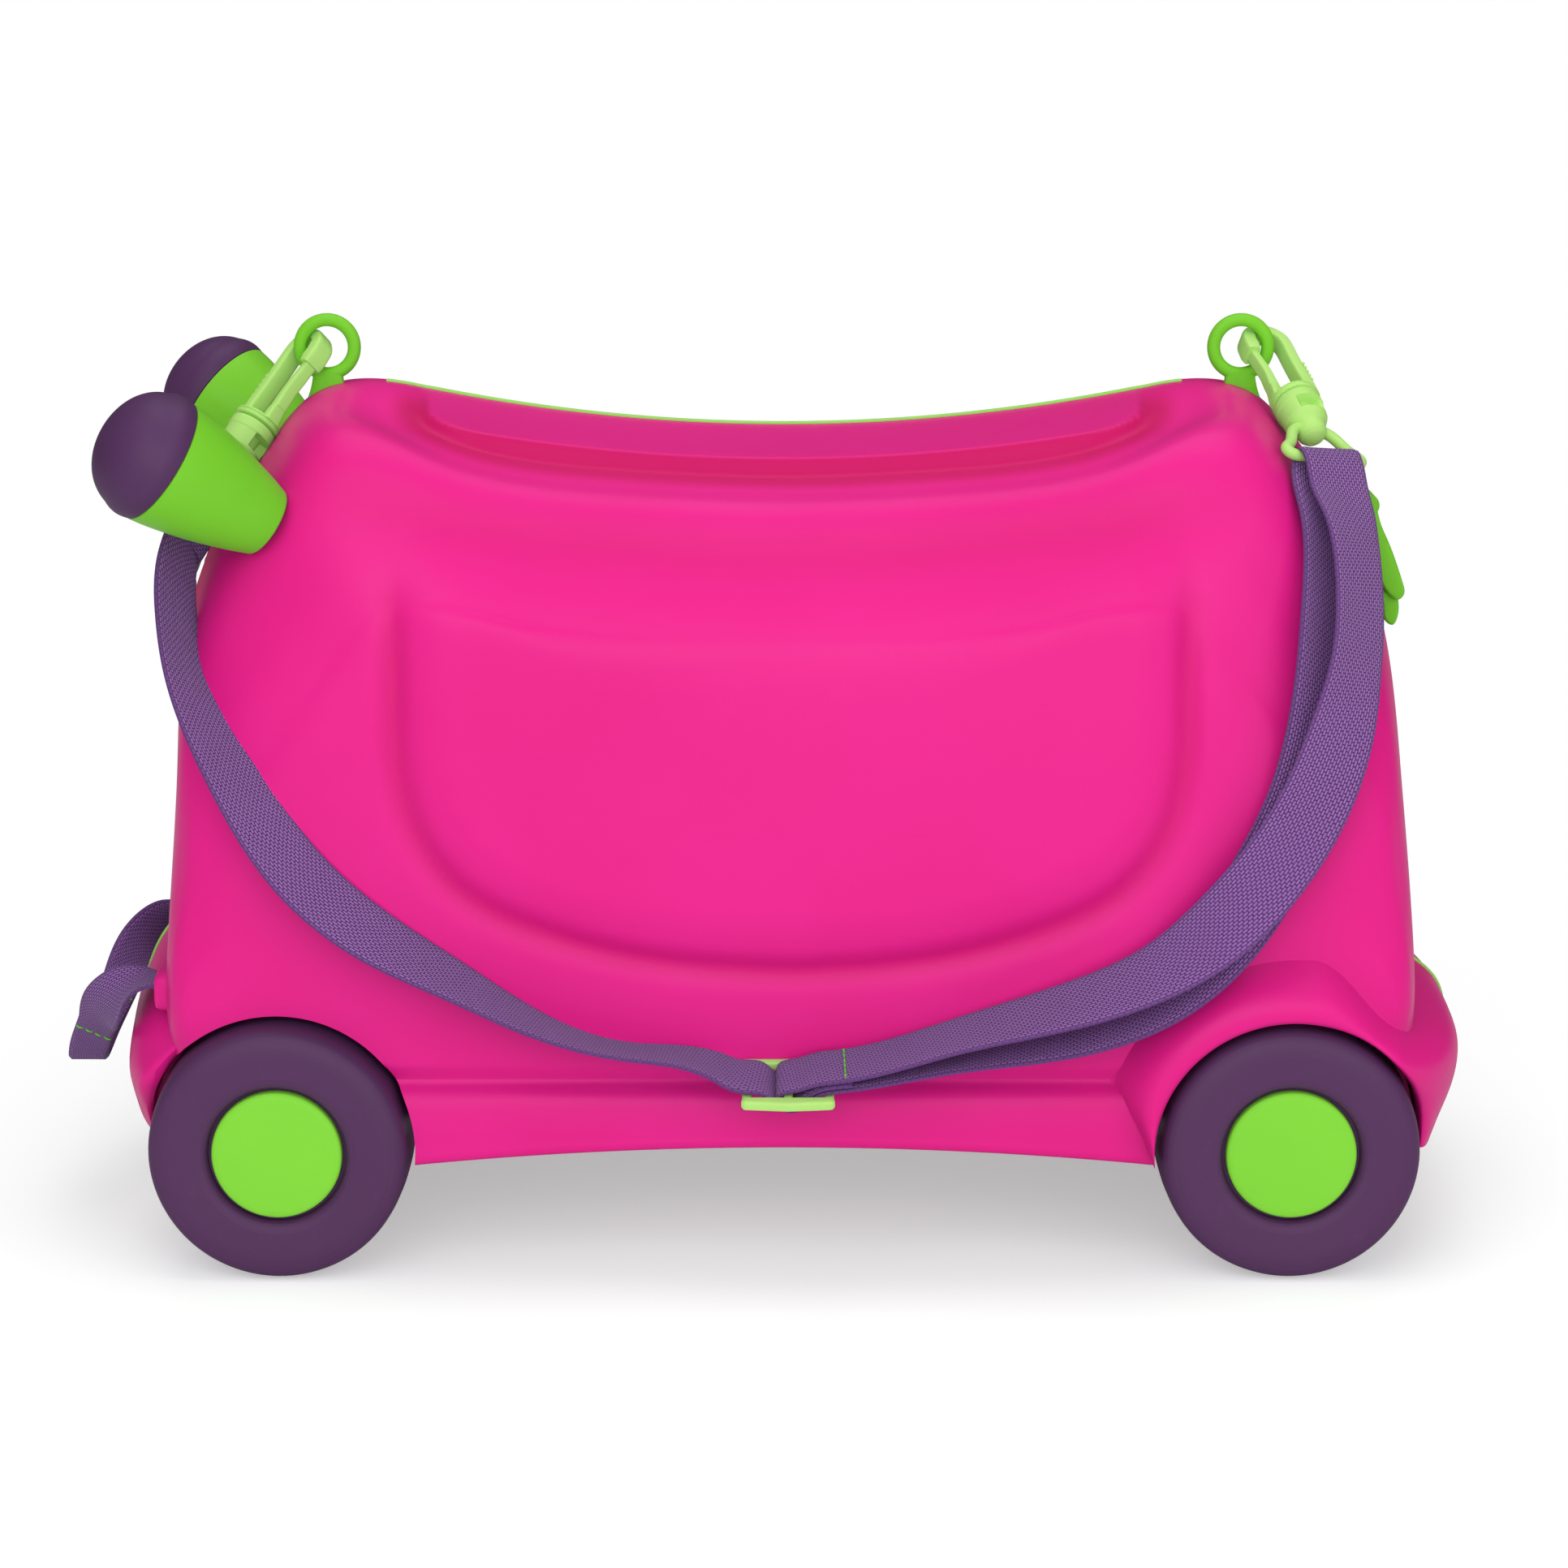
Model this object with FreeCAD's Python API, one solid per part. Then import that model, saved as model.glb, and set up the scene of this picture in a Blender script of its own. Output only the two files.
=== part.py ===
import FreeCAD, Part
import math
import os

# Ride-on suitcase. Sizes are in millimetres. X runs from the front (-X) to the rear (+X), Y from the left
# half (-Y) to the right half (+Y), and Z up from the floor. The seam between the halves is the plane Y = 0,
# and X = 0 is midway between the front and rear axles.

# Case
half_length = 220.0
half_width = 91.0
seat_height = 289.3
saddle_rise = 17.7
shoulder_drop = 121.0
top_fall = 60.0
end_inset = 36.0
belly_height = 52.0
belly_rise = 8.0
lower_wall_height = 107.0
lower_turn_height = 80.0
lower_corner_height = 58.0
wall = 3.2
seam_gap = 0.3
overrun = 5.0

# Seat pad and side panel
pad_half_length = 132.0
pad_half_width = 60.0
pad_depth = 12.0
pad_crown = 4.0
pad_corner = 22.0
panel_half_length = 136.0
panel_top = 250.0
panel_bottom = 110.0
panel_rise = 4.0
panel_round = 12.0

# Running board
board_reach = 97.0
board_root = 84.0
board_top = 68.0
board_end_bottom = 40.0
board_sag = 6.5
board_edge = 5.0

# Wheels and their wells
wheelbase = 354.6
wheel_radius = 46.0
wheel_width = 40.0
wheel_face = 105.0
wheel_shoulder = 8.5
wheel_back_shoulder = 4.0
well_clearance = 2.0
well_back = 61.5
axle_radius = 5.0
axle_clearance = 0.05
axle_head_radius = 8.0
axle_depth = 44.0
housing_radius = 12.0
housing_depth = 40.0
axle_head = 3.0
axle_play = 0.4
hub_radius = 22.9
hub_gap = 1.1
hub_thickness = 3.5
hub_dome = 0.6

# Rear fender and the two bumpers
fender_reach = 107.0
fender_width = 21.0
fender_foot = 50.0
front_reach = 237.5
front_nose_height = 90.0
rear_reach = 246.5
rear_nose_height = 76.0
bumper_root = 200.0
bumper_top = 22.0
bumper_foot = 44.0

# Hinge along the bottom seam
hinge_height = 40.0
hinge_length = 120.0
hinge_radius = 5.0
hinge_pin_radius = 2.0
hinge_running = 0.05
hinge_gap = 0.4
hinge_count = 5

# Seam seal
seal_width = 2.4
seal_depth = 1.6
seal_proud = 0.8
seal_half_length = 143.0
seal_low = 70.0
seal_high = 97.0

# Strap rings
ring_place = 164.0
ring_height = 317.0
ring_radius = 9.7
ring_wire = 2.35
ring_stem_foot = 16.0
ring_stem_half = 6.0

# Latches, measured at the rear and mirrored to the front
pocket_half_width = 24.0
pocket_above_latch = 15.0
pocket_below_latch = 55.0
pocket_top_floor = 188.0
pocket_low_floor = 206.0
latch_half_width = 17.0
latch_axis = 209.0
latch_height = 262.0
latch_pin_radius = 1.6
latch_knuckle_radius = 4.2
base_above_latch = 6.0
base_below_latch = 11.0
latch_lip = 226.0
lip_below_latch = 35.0
tab_below_latch = 45.0
latch_thickness = 3.6
latch_clearance = 0.5
keeper_foot_below_latch = 40.0
keeper_top_below_latch = 22.0
keeper_reach = 214.0

# Grips: a straight axis from the foot on the case to the rounded tip
grip_foot_x = 178.5
grip_foot_y = 76.0
grip_foot_z = 265.5
grip_joint_x = 211.5
grip_joint_y = 91.0
grip_joint_z = 288.7
grip_foot_radius = 10.75
grip_joint_radius = 22.5
grip_tip_length = 23.5
grip_root_length = 22.0

# Webbing, snap hooks and the length adjuster
webbing_width = 25.0
webbing_thickness = 2.0
hook_length = 36.0
hook_half_width = 7.8
hook_opening = 4.3
hook_thickness = 4.8
hook_base = 4.0
hook_nose = 5.7
hook_slack = 2.0
gate_gap = 0.3
gate_thickness = 3.2
gate_pin_radius = 0.8
collar_radius = 7.6
collar_thickness = 2.6
swivel_gap = 0.3
swivel_stem_radius = 2.6
barrel_radius = 6.4
barrel_length = 12.0
window_width = 5.0
window_height = 5.0
eye_wire = 2.2
eye_depth = 15.0
eye_slack = 1.4
glide_length = 32.0
glide_bar = 3.6
glide_slack = 0.3
glide_corner = 3.0
glide_thickness = 3.2
strap_spread = 5.0
strap_clearance = 0.3

# Tow loop at the front
tow_slot_place = 60.0
tow_slot_height = 97.0
tow_slot_gap = 1.0
tow_rim = 2.4
tow_rim_height = 5.6
tow_mouth = 222.5
tow_reach = 259.0
tow_drop = 44.0
tow_hold_width = 14.0
tow_hold_thickness = 4.4

axle_x = wheelbase / 2
axle_z = wheel_radius
body_half_height = (seat_height - belly_height) / 2
body_mid_height = belly_height + body_half_height
well_radius = wheel_radius + well_clearance
pocket_top_height = latch_height + pocket_above_latch
pocket_low_height = latch_height - pocket_below_latch
latch_base_high = latch_height + base_above_latch
latch_base_low = latch_height - base_below_latch
latch_lip_height = latch_height - lip_below_latch
latch_tab_height = latch_height - tab_below_latch
keeper_low = latch_height - keeper_foot_below_latch
keeper_high = latch_height - keeper_top_below_latch
Y_AXIS = FreeCAD.Vector(0, 1, 0)
Z_AXIS = FreeCAD.Vector(0, 0, 1)
ORIGIN = FreeCAD.Vector(0, 0, 0)


def point(x, y, z):
    return FreeCAD.Vector(x, y, z)


def closed_spline(points):
    """Smooth closed wire through the points."""
    curve = Part.BSplineCurve()
    curve.interpolate(Points=points, PeriodicFlag=True)
    return Part.Wire([curve.toShape()])


def prism(points, direction):
    """Straight-sided solid on a flat polygon."""
    return Part.Face(Part.makePolygon(points + [points[0]])).extrude(direction)


def block(x_low, x_high, y_low, y_high, z_low, z_high):
    size = point(x_high - x_low, y_high - y_low, z_high - z_low)
    return Part.makeBox(size.x, size.y, size.z, point(x_low, y_low, z_low))


def rod(radius, start, end):
    """Round bar between two points."""
    along = end - start
    return Part.makeCylinder(radius, along.Length, start, along)


def mirror_y(shape):
    return shape.mirror(ORIGIN, Y_AXIS)


def turned(profile, base, axis, across):
    """Solid of revolution: profile holds (distance along the axis, radius) pairs."""
    points = [base + axis * along + across * radius for along, radius in profile]
    face = Part.Face(Part.makePolygon(points + [points[0]]))
    return face.revolve(base, axis, 360)


def save(name, shape):
    shape.exportStep("parts/" + name + ".step")


def saddle(x):
    """Height of the seat line above its lowest point."""
    crest = half_length * saddle_x_shares[-1]
    return saddle_rise * (x / crest) ** 2


# Outline of the case at one distance from the seam, from the seat's middle to the rear, as shares of the
# half length, the shoulder drop and the end inset
saddle_x_shares = (0.0, 0.24, 0.48, 0.68)
shoulder_shares = ((0.76, 0.03), (0.836, 0.165), (0.909, 0.355), (0.955, 0.537), (0.982, 0.735), (0.99, 1.0))
lower_wall_share = 1.015
lower_turn_share = 1.0
lower_corner_share = 0.95
belly_x_shares = (0.68, 0.34)
lower_inset_share = 0.42
body_level_shares = (
    (0.0, 0.0, 0.0, 0.0),
    (0.33, 0.025, 0.08, 0.0),
    (0.53, 0.065, 0.18, 0.0),
    (0.66, 0.12, 0.26, 0.0),
    (0.75, 0.21, 0.32, 0.0),
    (0.835, 0.4, 0.38, 0.05),
    (0.91, 0.67, 0.5, 0.2),
    (0.965, 0.86, 0.7, 0.5),
    (1.0, 1.0, 1.0, 1.0),
)


def half_outline(fall, inset, rise):
    """Rear half of the case's outline as (x, z) pairs, from the seat's middle down to the belly."""
    reach = half_length - inset
    top = seat_height - pad_crown / 2 - fall
    pairs = [(reach * share, top + saddle(reach * share)) for share in saddle_x_shares]
    crest = pairs[-1][1]
    for x_share, drop_share in shoulder_shares:
        pairs.append((reach * x_share, crest - shoulder_drop * drop_share))
    lower = half_length - inset * lower_inset_share
    pairs.append((lower * lower_wall_share, lower_wall_height))
    pairs.append((lower * lower_turn_share, lower_turn_height))
    pairs.append((lower * lower_corner_share, lower_corner_height + rise))
    for share in belly_x_shares:
        pairs.append((lower * share, belly_height + rise))
    pairs.append((0, belly_height + rise))
    return pairs


def both_sides(levels):
    """Levels from the far side to the near side, for a form that runs smoothly across the seam."""
    far = [(-level[0],) + tuple(level[1:]) for level in reversed(levels[1:])]
    return far + list(levels)


def near_side(shape, mouth):
    """The part of a shape on the left of a plane parallel to the seam."""
    size = 2 * rear_reach
    return shape.common(block(-size, size, -size, mouth, -size, size))


def body_loft(thickness, mouth):
    """Left half of the case as a solid, drawn in on all sides by a wall thickness."""
    x_scale = 1 - thickness / half_length
    y_scale = 1 - thickness / half_width
    z_scale = 1 - thickness / body_half_height
    wires = []
    for y_share, fall_share, inset_share, rise_share in both_sides(body_level_shares):
        pairs = half_outline(top_fall * fall_share, end_inset * inset_share, belly_rise * rise_share)
        mirrored = [(-x, z) for x, z in reversed(pairs[1:-1])]
        y = -half_width * y_share * y_scale
        points = []
        for x, z in pairs + mirrored:
            points.append(point(x * x_scale, y, body_mid_height + (z - body_mid_height) * z_scale))
        wires.append(closed_spline(points))
    return near_side(Part.makeLoft(wires, True, False), mouth)


def saddle_strip(reach, y, above, below):
    """Upright face along the seat line, from a height above it to a depth below it."""
    steps = 8
    runs = []
    for offset in (above, -below):
        places = [reach * (2 * step / steps - 1) for step in range(steps + 1)]
        runs.append([point(x, y, seat_height + saddle(x) + offset) for x in places])
    edges = []
    for run in runs:
        curve = Part.BSplineCurve()
        curve.interpolate(Points=run)
        edges.append(curve.toShape())
    edges.append(Part.makeLine(runs[0][0], runs[1][0]))
    edges.append(Part.makeLine(runs[0][-1], runs[1][-1]))
    return Part.Face(Part.Wire(Part.__sortEdges__(edges)))


def seat_pad():
    """Raised saddle between the shoulders, with rounded corners and a stepped edge."""
    strip = saddle_strip(pad_half_length, -seam_gap / 2, 0, pad_depth)
    pad = strip.extrude(point(0, -pad_half_width, -pad_crown))
    upright = []
    for edge in pad.Edges:
        middle = edge.valueAt((edge.FirstParameter + edge.LastParameter) / 2)
        at_corner = abs(middle.x) > pad_half_length - seam_gap and middle.y < seam_gap - pad_half_width
        if at_corner and edge.Length < pad_half_width / 2:
            upright.append(edge)
    return pad.makeFillet(pad_corner, upright)


# Shield outline of the side panel: (share of the half length, share of the height above its lowest point)
panel_side_shares = ((1.0, 0.72), (0.99, 0.47), (0.94, 0.325), (0.85, 0.21), (0.665, 0.11), (0.33, 0.025))
panel_top_shares = (0.0, 0.34, 0.68, 0.96)
panel_level_shares = ((-2.75, 0.0), (-0.5, 0.45), (0.5, 1.3), (1.0, 2.3))
panel_side_share = 0.33


def side_panel():
    """Pillow on the side of the case, level by level outwards."""
    wires = []
    for out_share, round_share in panel_level_shares:
        y = -half_width - panel_rise * out_share
        draw_in = panel_round * round_share
        reach = panel_half_length - draw_in * panel_side_share
        low = panel_bottom + draw_in * panel_side_share
        high = panel_top - draw_in
        side = [(reach * s, high + saddle(reach * s)) for s in panel_top_shares]
        for x_share, z_share in panel_side_shares:
            side.append((reach * x_share, low + (high - low) * z_share))
        side.append((0, low))
        mirrored = [(-x, z) for x, z in reversed(side[1:-1])]
        wires.append(closed_spline([point(x, y, z) for x, z in side + mirrored]))
    return Part.makeLoft(wires, True, False)


def running_board():
    """Step between the wheels, with a hollowed lower edge."""
    reach = axle_x - well_radius / 2
    profile = [
        (board_root, board_top + board_edge),
        (board_reach - board_edge, board_top),
        (board_reach, board_top - board_edge),
        (board_reach, board_end_bottom - overrun),
        (board_root, board_end_bottom - overrun),
    ]
    bar = prism([point(-reach, -y, z) for y, z in profile], point(2 * reach, 0, 0))
    span = axle_x - well_radius
    sag_radius = (span ** 2 + board_sag ** 2) / (2 * board_sag)
    middle = board_end_bottom + board_sag
    start = point(0, -board_reach - overrun, middle - sag_radius)
    return bar.cut(rod(sag_radius, start, point(0, overrun, middle - sag_radius)))


# Section of the rear fender: (share of its width from the arch, share of its stand-off from the wall)
fender_shares = ((0.0, 0.95), (0.12, 1.0), (0.35, 0.96), (0.62, 0.76), (0.85, 0.4), (1.0, 0.0))


def rear_fender():
    """Flared arch round the rear wheel."""
    root = half_width - wall
    profile = [(root, well_radius)]
    for width_share, out_share in fender_shares:
        out = half_width + (fender_reach - half_width) * out_share
        profile.append((out, well_radius + fender_width * width_share))
    profile.append((root, well_radius + fender_width))
    ring = turned(profile, point(axle_x, 0, axle_z), -Y_AXIS, Z_AXIS)
    size = well_radius + fender_width + overrun
    low = axle_z - size
    return ring.cut(block(axle_x - size, axle_x + size, -fender_reach - overrun, 0, low, fender_foot))


# Bumper section: (share of the reach past its root, share of the height from foot to top) and its levels
# from the seam outwards: (share of the half width, share of the corner round)
bumper_shares = (
    (0.0, 1.0), (0.35, 1.0), (0.75, 0.93), (0.95, 0.8), (1.0, 0.6), (0.93, 0.3), (0.78, 0.04), (0.4, 0.0),
    (0.0, 0.05),
)
front_level_shares = ((0.0, 0.0), (0.25, 0.05), (0.5, 0.18), (0.75, 0.42), (1.0, 0.75))
rear_level_shares = ((0.0, 0.0), (0.45, 0.03), (0.72, 0.16), (0.9, 0.4), (1.0, 0.7))


def bumper(direction, reach, nose_height, side_reach, level_shares):
    """Rounded nose across one end of the left half."""
    wires = []
    top = nose_height + bumper_top
    for y_share, round_share in both_sides(level_shares):
        y = -side_reach * y_share
        length = (reach - bumper_root) * (1 - round_share)
        points = []
        for x_share, z_share in bumper_shares:
            x = bumper_root + length * x_share
            points.append(point(direction * x, y, bumper_foot + (top - bumper_foot) * z_share))
        wires.append(closed_spline(points))
    return near_side(Part.makeLoft(wires, True, False), -seam_gap / 2)


def well_drum(x, radius, back):
    """Round space that a wheel turns in, open to the side."""
    return rod(radius, point(x, -back, axle_z), point(x, -fender_reach - overrun, axle_z))


def axle_housing(x):
    """Boss that carries a stub axle, with the web up to the belly."""
    face = wheel_face - wheel_width - seam_gap
    boss = rod(housing_radius, point(x, -housing_depth, axle_z), point(x, -face, axle_z))
    web = block(x - housing_radius, x + housing_radius, -well_back, -housing_depth, axle_z,
                belly_height + belly_rise)
    return boss.fuse(web)


def pocket(depth, direction):
    """Sloped space in an end wall that a latch sits in."""
    spread = pocket_half_width + depth
    floor = [
        (pocket_top_floor - depth, pocket_top_height + depth),
        (pocket_low_floor - depth, pocket_low_height - depth),
        (rear_reach, pocket_low_height - depth),
        (rear_reach, pocket_top_height + depth),
    ]
    points = [point(direction * x, -spread, z) for x, z in floor]
    return prism(points, point(0, spread + overrun, 0))


def tow_slot(reach, width_margin, height_margin):
    """Block round the place where the tow webbing comes out of the front wall."""
    half_gap = webbing_thickness / 2 + height_margin
    half = webbing_width / 2 + width_margin
    return block(-reach, -bumper_root, -tow_slot_place - half, half - tow_slot_place,
                 tow_slot_height - half_gap, tow_slot_height + half_gap)


def knuckle_span(index):
    pitch = hinge_length / hinge_count
    low = -hinge_length / 2 + pitch * index
    return low + hinge_gap / 2, low + pitch - hinge_gap / 2


def knuckles(side, bore):
    """Hinge eyes of one half and the webs that carry them."""
    first = 0 if side < 0 else 1
    pieces = []
    for index in range(first, hinge_count, 2):
        low, high = knuckle_span(index)
        eye = rod(hinge_radius, point(low, 0, hinge_height), point(high, 0, hinge_height))
        inner = side * seam_gap
        outer = side * hinge_radius
        web = block(low, high, min(inner, outer), max(inner, outer), hinge_height, belly_height + wall / 2)
        hole = rod(bore, point(low - overrun, 0, hinge_height), point(high + overrun, 0, hinge_height))
        pieces.append(eye.fuse(web).cut(hole))
    return pieces


def left_half():
    """Left half with its forms, hollowed, before hinge and fittings."""
    mouth = -seam_gap / 2
    solid = body_loft(0, mouth)
    forms = [seat_pad(), side_panel(), running_board(), rear_fender()]
    forms.append(bumper(-1, front_reach, front_nose_height, board_root, front_level_shares))
    forms.append(bumper(1, rear_reach, rear_nose_height, fender_reach - wall, rear_level_shares))
    forms.append(tow_slot(tow_mouth, tow_slot_gap + tow_rim, tow_rim_height))
    outer = solid.fuse(forms)
    cavity = body_loft(wall, overrun)
    for x in (-axle_x, axle_x):
        cavity = cavity.cut(well_drum(x, well_radius + wall, well_back - wall))
    for direction in (-1, 1):
        cavity = cavity.cut(pocket(wall, direction))
    shell = outer.cut(cavity)
    for x in (-axle_x, axle_x):
        shell = shell.cut(well_drum(x, well_radius, well_back))
        shell = shell.fuse(axle_housing(x))
        hole_start = point(x, -axle_depth, axle_z)
        shell = shell.cut(rod(axle_radius, hole_start, point(x, -wheel_face, axle_z)))
    for direction in (-1, 1):
        shell = shell.cut(pocket(0, direction))
    return outer, shell.cut(tow_slot(front_reach + overrun, tow_slot_gap, tow_slot_gap))


def wheel(x):
    """Tyre, hub cap and stub axle of one left wheel, turned about the axle from the well outwards."""
    base = point(x, 0, axle_z)
    inner = wheel_face - wheel_width
    bore = axle_radius + axle_clearance
    recess = wheel_face - hub_thickness
    head_floor = recess - axle_head - axle_play
    head_bore = axle_head_radius + axle_play
    outer = [(inner, bore), (inner, wheel_radius - wheel_back_shoulder)]
    outer.append((inner + wheel_back_shoulder, wheel_radius))
    steps = 6
    for step in range(steps + 1):
        angle = math.radians(90 * step / steps)
        along = wheel_face - wheel_shoulder + wheel_shoulder * math.sin(angle)
        outer.append((along, wheel_radius - wheel_shoulder + wheel_shoulder * math.cos(angle)))
    outer += [(wheel_face, hub_radius + hub_gap), (recess, hub_radius + hub_gap)]
    outer += [(recess, head_bore), (head_floor, head_bore), (head_floor, bore)]
    tyre = turned(outer, base, -Y_AXIS, Z_AXIS)
    cap_profile = [(recess, 0), (recess, hub_radius), (wheel_face - hub_dome, hub_radius)]
    cap_profile += [(wheel_face, hub_radius - hub_dome), (wheel_face, 0)]
    cap = turned(cap_profile, base, -Y_AXIS, Z_AXIS)
    head_in = head_floor + axle_play / 2
    axle_profile = [(axle_depth, 0), (axle_depth, axle_radius)]
    axle_profile += [(head_in, axle_radius), (head_in, axle_head_radius)]
    axle_profile += [(head_in + axle_head, axle_head_radius), (head_in + axle_head, 0)]
    axle = turned(axle_profile, base, -Y_AXIS, Z_AXIS)
    return tyre, cap, axle


def seal_top():
    """Seal along the seat line, standing a little proud."""
    strip = saddle_strip(seal_half_length, -seam_gap / 2, seal_proud, seal_depth)
    return strip.extrude(point(0, -seal_width, 0))


seal_near_share = 0.5


def seal_end(direction, reach, nose_height):
    """Seal over one bumper: the band between a grown and a shrunk bumper section."""
    top = nose_height + bumper_top
    wires = []
    for growth in (seal_proud, -seal_depth):
        length = reach - bumper_root + growth
        points = []
        for x_share, z_share in bumper_shares:
            z = bumper_foot + (top + growth - bumper_foot) * z_share
            points.append(point(direction * (bumper_root + length * x_share), -seam_gap / 2, z))
        wires.append(closed_spline(points))
    grown = Part.Face(wires[0]).extrude(point(0, -seal_width, 0))
    shrunk = Part.Face(wires[1]).extrude(point(0, -seal_width, 0))
    near = bumper_root + (reach - bumper_root) * seal_near_share
    window = sorted((direction * near, direction * (reach + overrun)))
    return grown.cut(shrunk).common(block(window[0], window[1], -half_width, 0, seal_low, seal_high))


ring_neck_share = 0.7


def strap_ring(x):
    """Round eye on a tapered stem that is held in the seam."""
    centre = point(x, 0, ring_height)
    eye = Part.makeTorus(ring_radius, ring_wire, centre, Y_AXIS)
    foot = ring_height - ring_radius - ring_stem_foot
    shoulder = ring_height - ring_radius
    half = ring_stem_half
    outline = [
        point(x - half, -ring_wire, foot),
        point(x + half, -ring_wire, foot),
        point(x + half * ring_neck_share, -ring_wire, shoulder),
        point(x - half * ring_neck_share, -ring_wire, shoulder),
    ]
    return eye.fuse(prism(outline, point(0, 2 * ring_wire, 0)))


def stem_notch(x, clearance):
    """Space for a ring's stem in the seam."""
    half = ring_stem_half + clearance
    low = ring_height - ring_radius - ring_stem_foot - clearance
    return block(x - half, x + half, -ring_wire - clearance, ring_wire + clearance, low, ring_height)


latch_parts = 3


def latch_places():
    """Places across the left half for the base's two ears and the flap's knuckle between them."""
    inner = -seam_gap * 2
    outer = -latch_half_width - seam_gap
    step = (outer - inner) / latch_parts
    return inner, inner + step, outer - step, outer


def pocket_floor_at(z):
    share = (pocket_top_height - z) / (pocket_top_height - pocket_low_height)
    return pocket_top_floor + (pocket_low_floor - pocket_top_floor) * share


def latch_base(direction):
    """Block on the left half's pocket floor with two ears for the latch pin."""
    inner, ear_in, ear_out, outer = latch_places()
    seat = [
        (pocket_floor_at(latch_base_high), latch_base_high),
        (pocket_floor_at(latch_base_low), latch_base_low),
        (latch_axis - latch_knuckle_radius - latch_clearance, latch_base_low),
        (latch_axis - latch_knuckle_radius - latch_clearance, latch_base_high),
    ]
    body = prism([point(direction * x, outer, z) for x, z in seat], point(0, inner - outer, 0))
    for low, high in ((outer, ear_out), (ear_in, inner)):
        start = point(direction * latch_axis, low, latch_height)
        ear = rod(latch_knuckle_radius, start, point(direction * latch_axis, high, latch_height))
        root = pocket_floor_at(latch_height - latch_knuckle_radius)
        neck = sorted((direction * root, direction * latch_axis))
        arm = block(neck[0], neck[1], low, high, latch_height - latch_knuckle_radius,
                    latch_height + latch_knuckle_radius)
        body = body.fuse(ear).fuse(arm)
    start = point(direction * latch_axis, outer - overrun, latch_height)
    return body.cut(rod(latch_pin_radius, start, point(direction * latch_axis, overrun, latch_height)))


flap_tab_shares = (0.5, 1.4, 1.2)


def latch_flap(direction):
    """Flap that hangs from the latch pin over both halves, with a finger tab at its lower edge."""
    inner, ear_in, ear_out, outer = latch_places()
    swing = latch_knuckle_radius + latch_clearance
    start_z = latch_height - swing
    tab_front, tab_back, lip_back = flap_tab_shares
    outline = [
        (latch_axis, start_z),
        (latch_axis + swing, start_z),
        (latch_lip, latch_lip_height),
        (latch_lip - latch_thickness * tab_front, latch_tab_height),
        (latch_lip - latch_thickness * tab_back, latch_tab_height),
        (latch_lip - latch_thickness * lip_back, latch_lip_height),
        (latch_axis + swing - latch_thickness, start_z - latch_thickness),
        (latch_axis, start_z - latch_thickness),
    ]
    points = [point(direction * x, -latch_half_width, z) for x, z in outline]
    plate = prism(points, point(0, 2 * latch_half_width, 0))
    low = ear_out + latch_clearance
    high = ear_in - latch_clearance
    axis_low = point(direction * latch_axis, low, latch_height)
    knuckle = rod(latch_knuckle_radius, axis_low, point(direction * latch_axis, high, latch_height))
    web = sorted((direction * latch_axis, direction * (latch_axis + latch_knuckle_radius)))
    arm = block(web[0], web[1], low, high, start_z - latch_thickness / 2, latch_height)
    hole_start = point(direction * latch_axis, low - overrun, latch_height)
    hole = rod(latch_pin_radius + hinge_running, hole_start, point(direction * latch_axis, overrun, latch_height))
    return plate.fuse(knuckle).fuse(arm).cut(hole)


def latch_pin(direction):
    inner, ear_in, ear_out, outer = latch_places()
    start = point(direction * latch_axis, outer, latch_height)
    return rod(latch_pin_radius, start, point(direction * latch_axis, inner, latch_height))


def keeper(direction):
    """Catch block on the right half's pocket floor, under the flap."""
    low_y = seam_gap * 2
    high_y = latch_half_width - seam_gap
    face = [
        (pocket_floor_at(keeper_high), keeper_high),
        (pocket_floor_at(keeper_low), keeper_low),
        (keeper_reach, keeper_low),
        (keeper_reach - latch_thickness, keeper_high),
    ]
    return prism([point(direction * x, low_y, z) for x, z in face], point(0, high_y - low_y, 0))


# Grip section: (share of the length from foot to joint, share of the growth in radius)
grip_shares = ((0.0, 0.0), (0.25, 0.33), (0.5, 0.62), (0.75, 0.85), (1.0, 1.0))
grip_root_share = 0.94
tip_shares = ((0.0, 1.0), (0.18, 1.03), (0.45, 0.95), (0.7, 0.78), (0.88, 0.55), (0.97, 0.32), (1.0, 0.0))


def grip():
    """Left horn: a tapered body and its rounded tip."""
    foot = point(-grip_foot_x, -grip_foot_y, grip_foot_z)
    joint = point(-grip_joint_x, -grip_joint_y, grip_joint_z)
    axis = joint - foot
    length = axis.Length
    axis.normalize()
    across = axis.cross(Y_AXIS)
    across.normalize()
    growth = grip_joint_radius - grip_foot_radius
    root = foot - axis * grip_root_length
    curve_points = [root + across * (grip_foot_radius * grip_root_share)]
    for along_share, growth_share in grip_shares:
        radius = grip_foot_radius + growth * growth_share
        curve_points.append(foot + axis * (length * along_share) + across * radius)
    horn = spun(curve_points, root, joint, axis)
    tip_points = []
    for along_share, radius_share in tip_shares:
        along = grip_tip_length * along_share
        tip_points.append(joint + axis * along + across * (grip_joint_radius * radius_share))
    tip = spun(tip_points, joint, joint + axis * grip_tip_length, axis)
    return horn, tip


def spun(points, start, end, axis):
    """Solid turned from a smooth curve that runs from beside start to beside or at end."""
    curve = Part.BSplineCurve()
    curve.interpolate(Points=points)
    edges = [Part.makeLine(start, points[0]), curve.toShape()]
    if (points[-1] - end).Length > gate_gap:
        edges.append(Part.makeLine(points[-1], end))
    edges.append(Part.makeLine(end, start))
    return Part.Face(Part.Wire(edges)).revolve(start, axis, 360)


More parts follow.
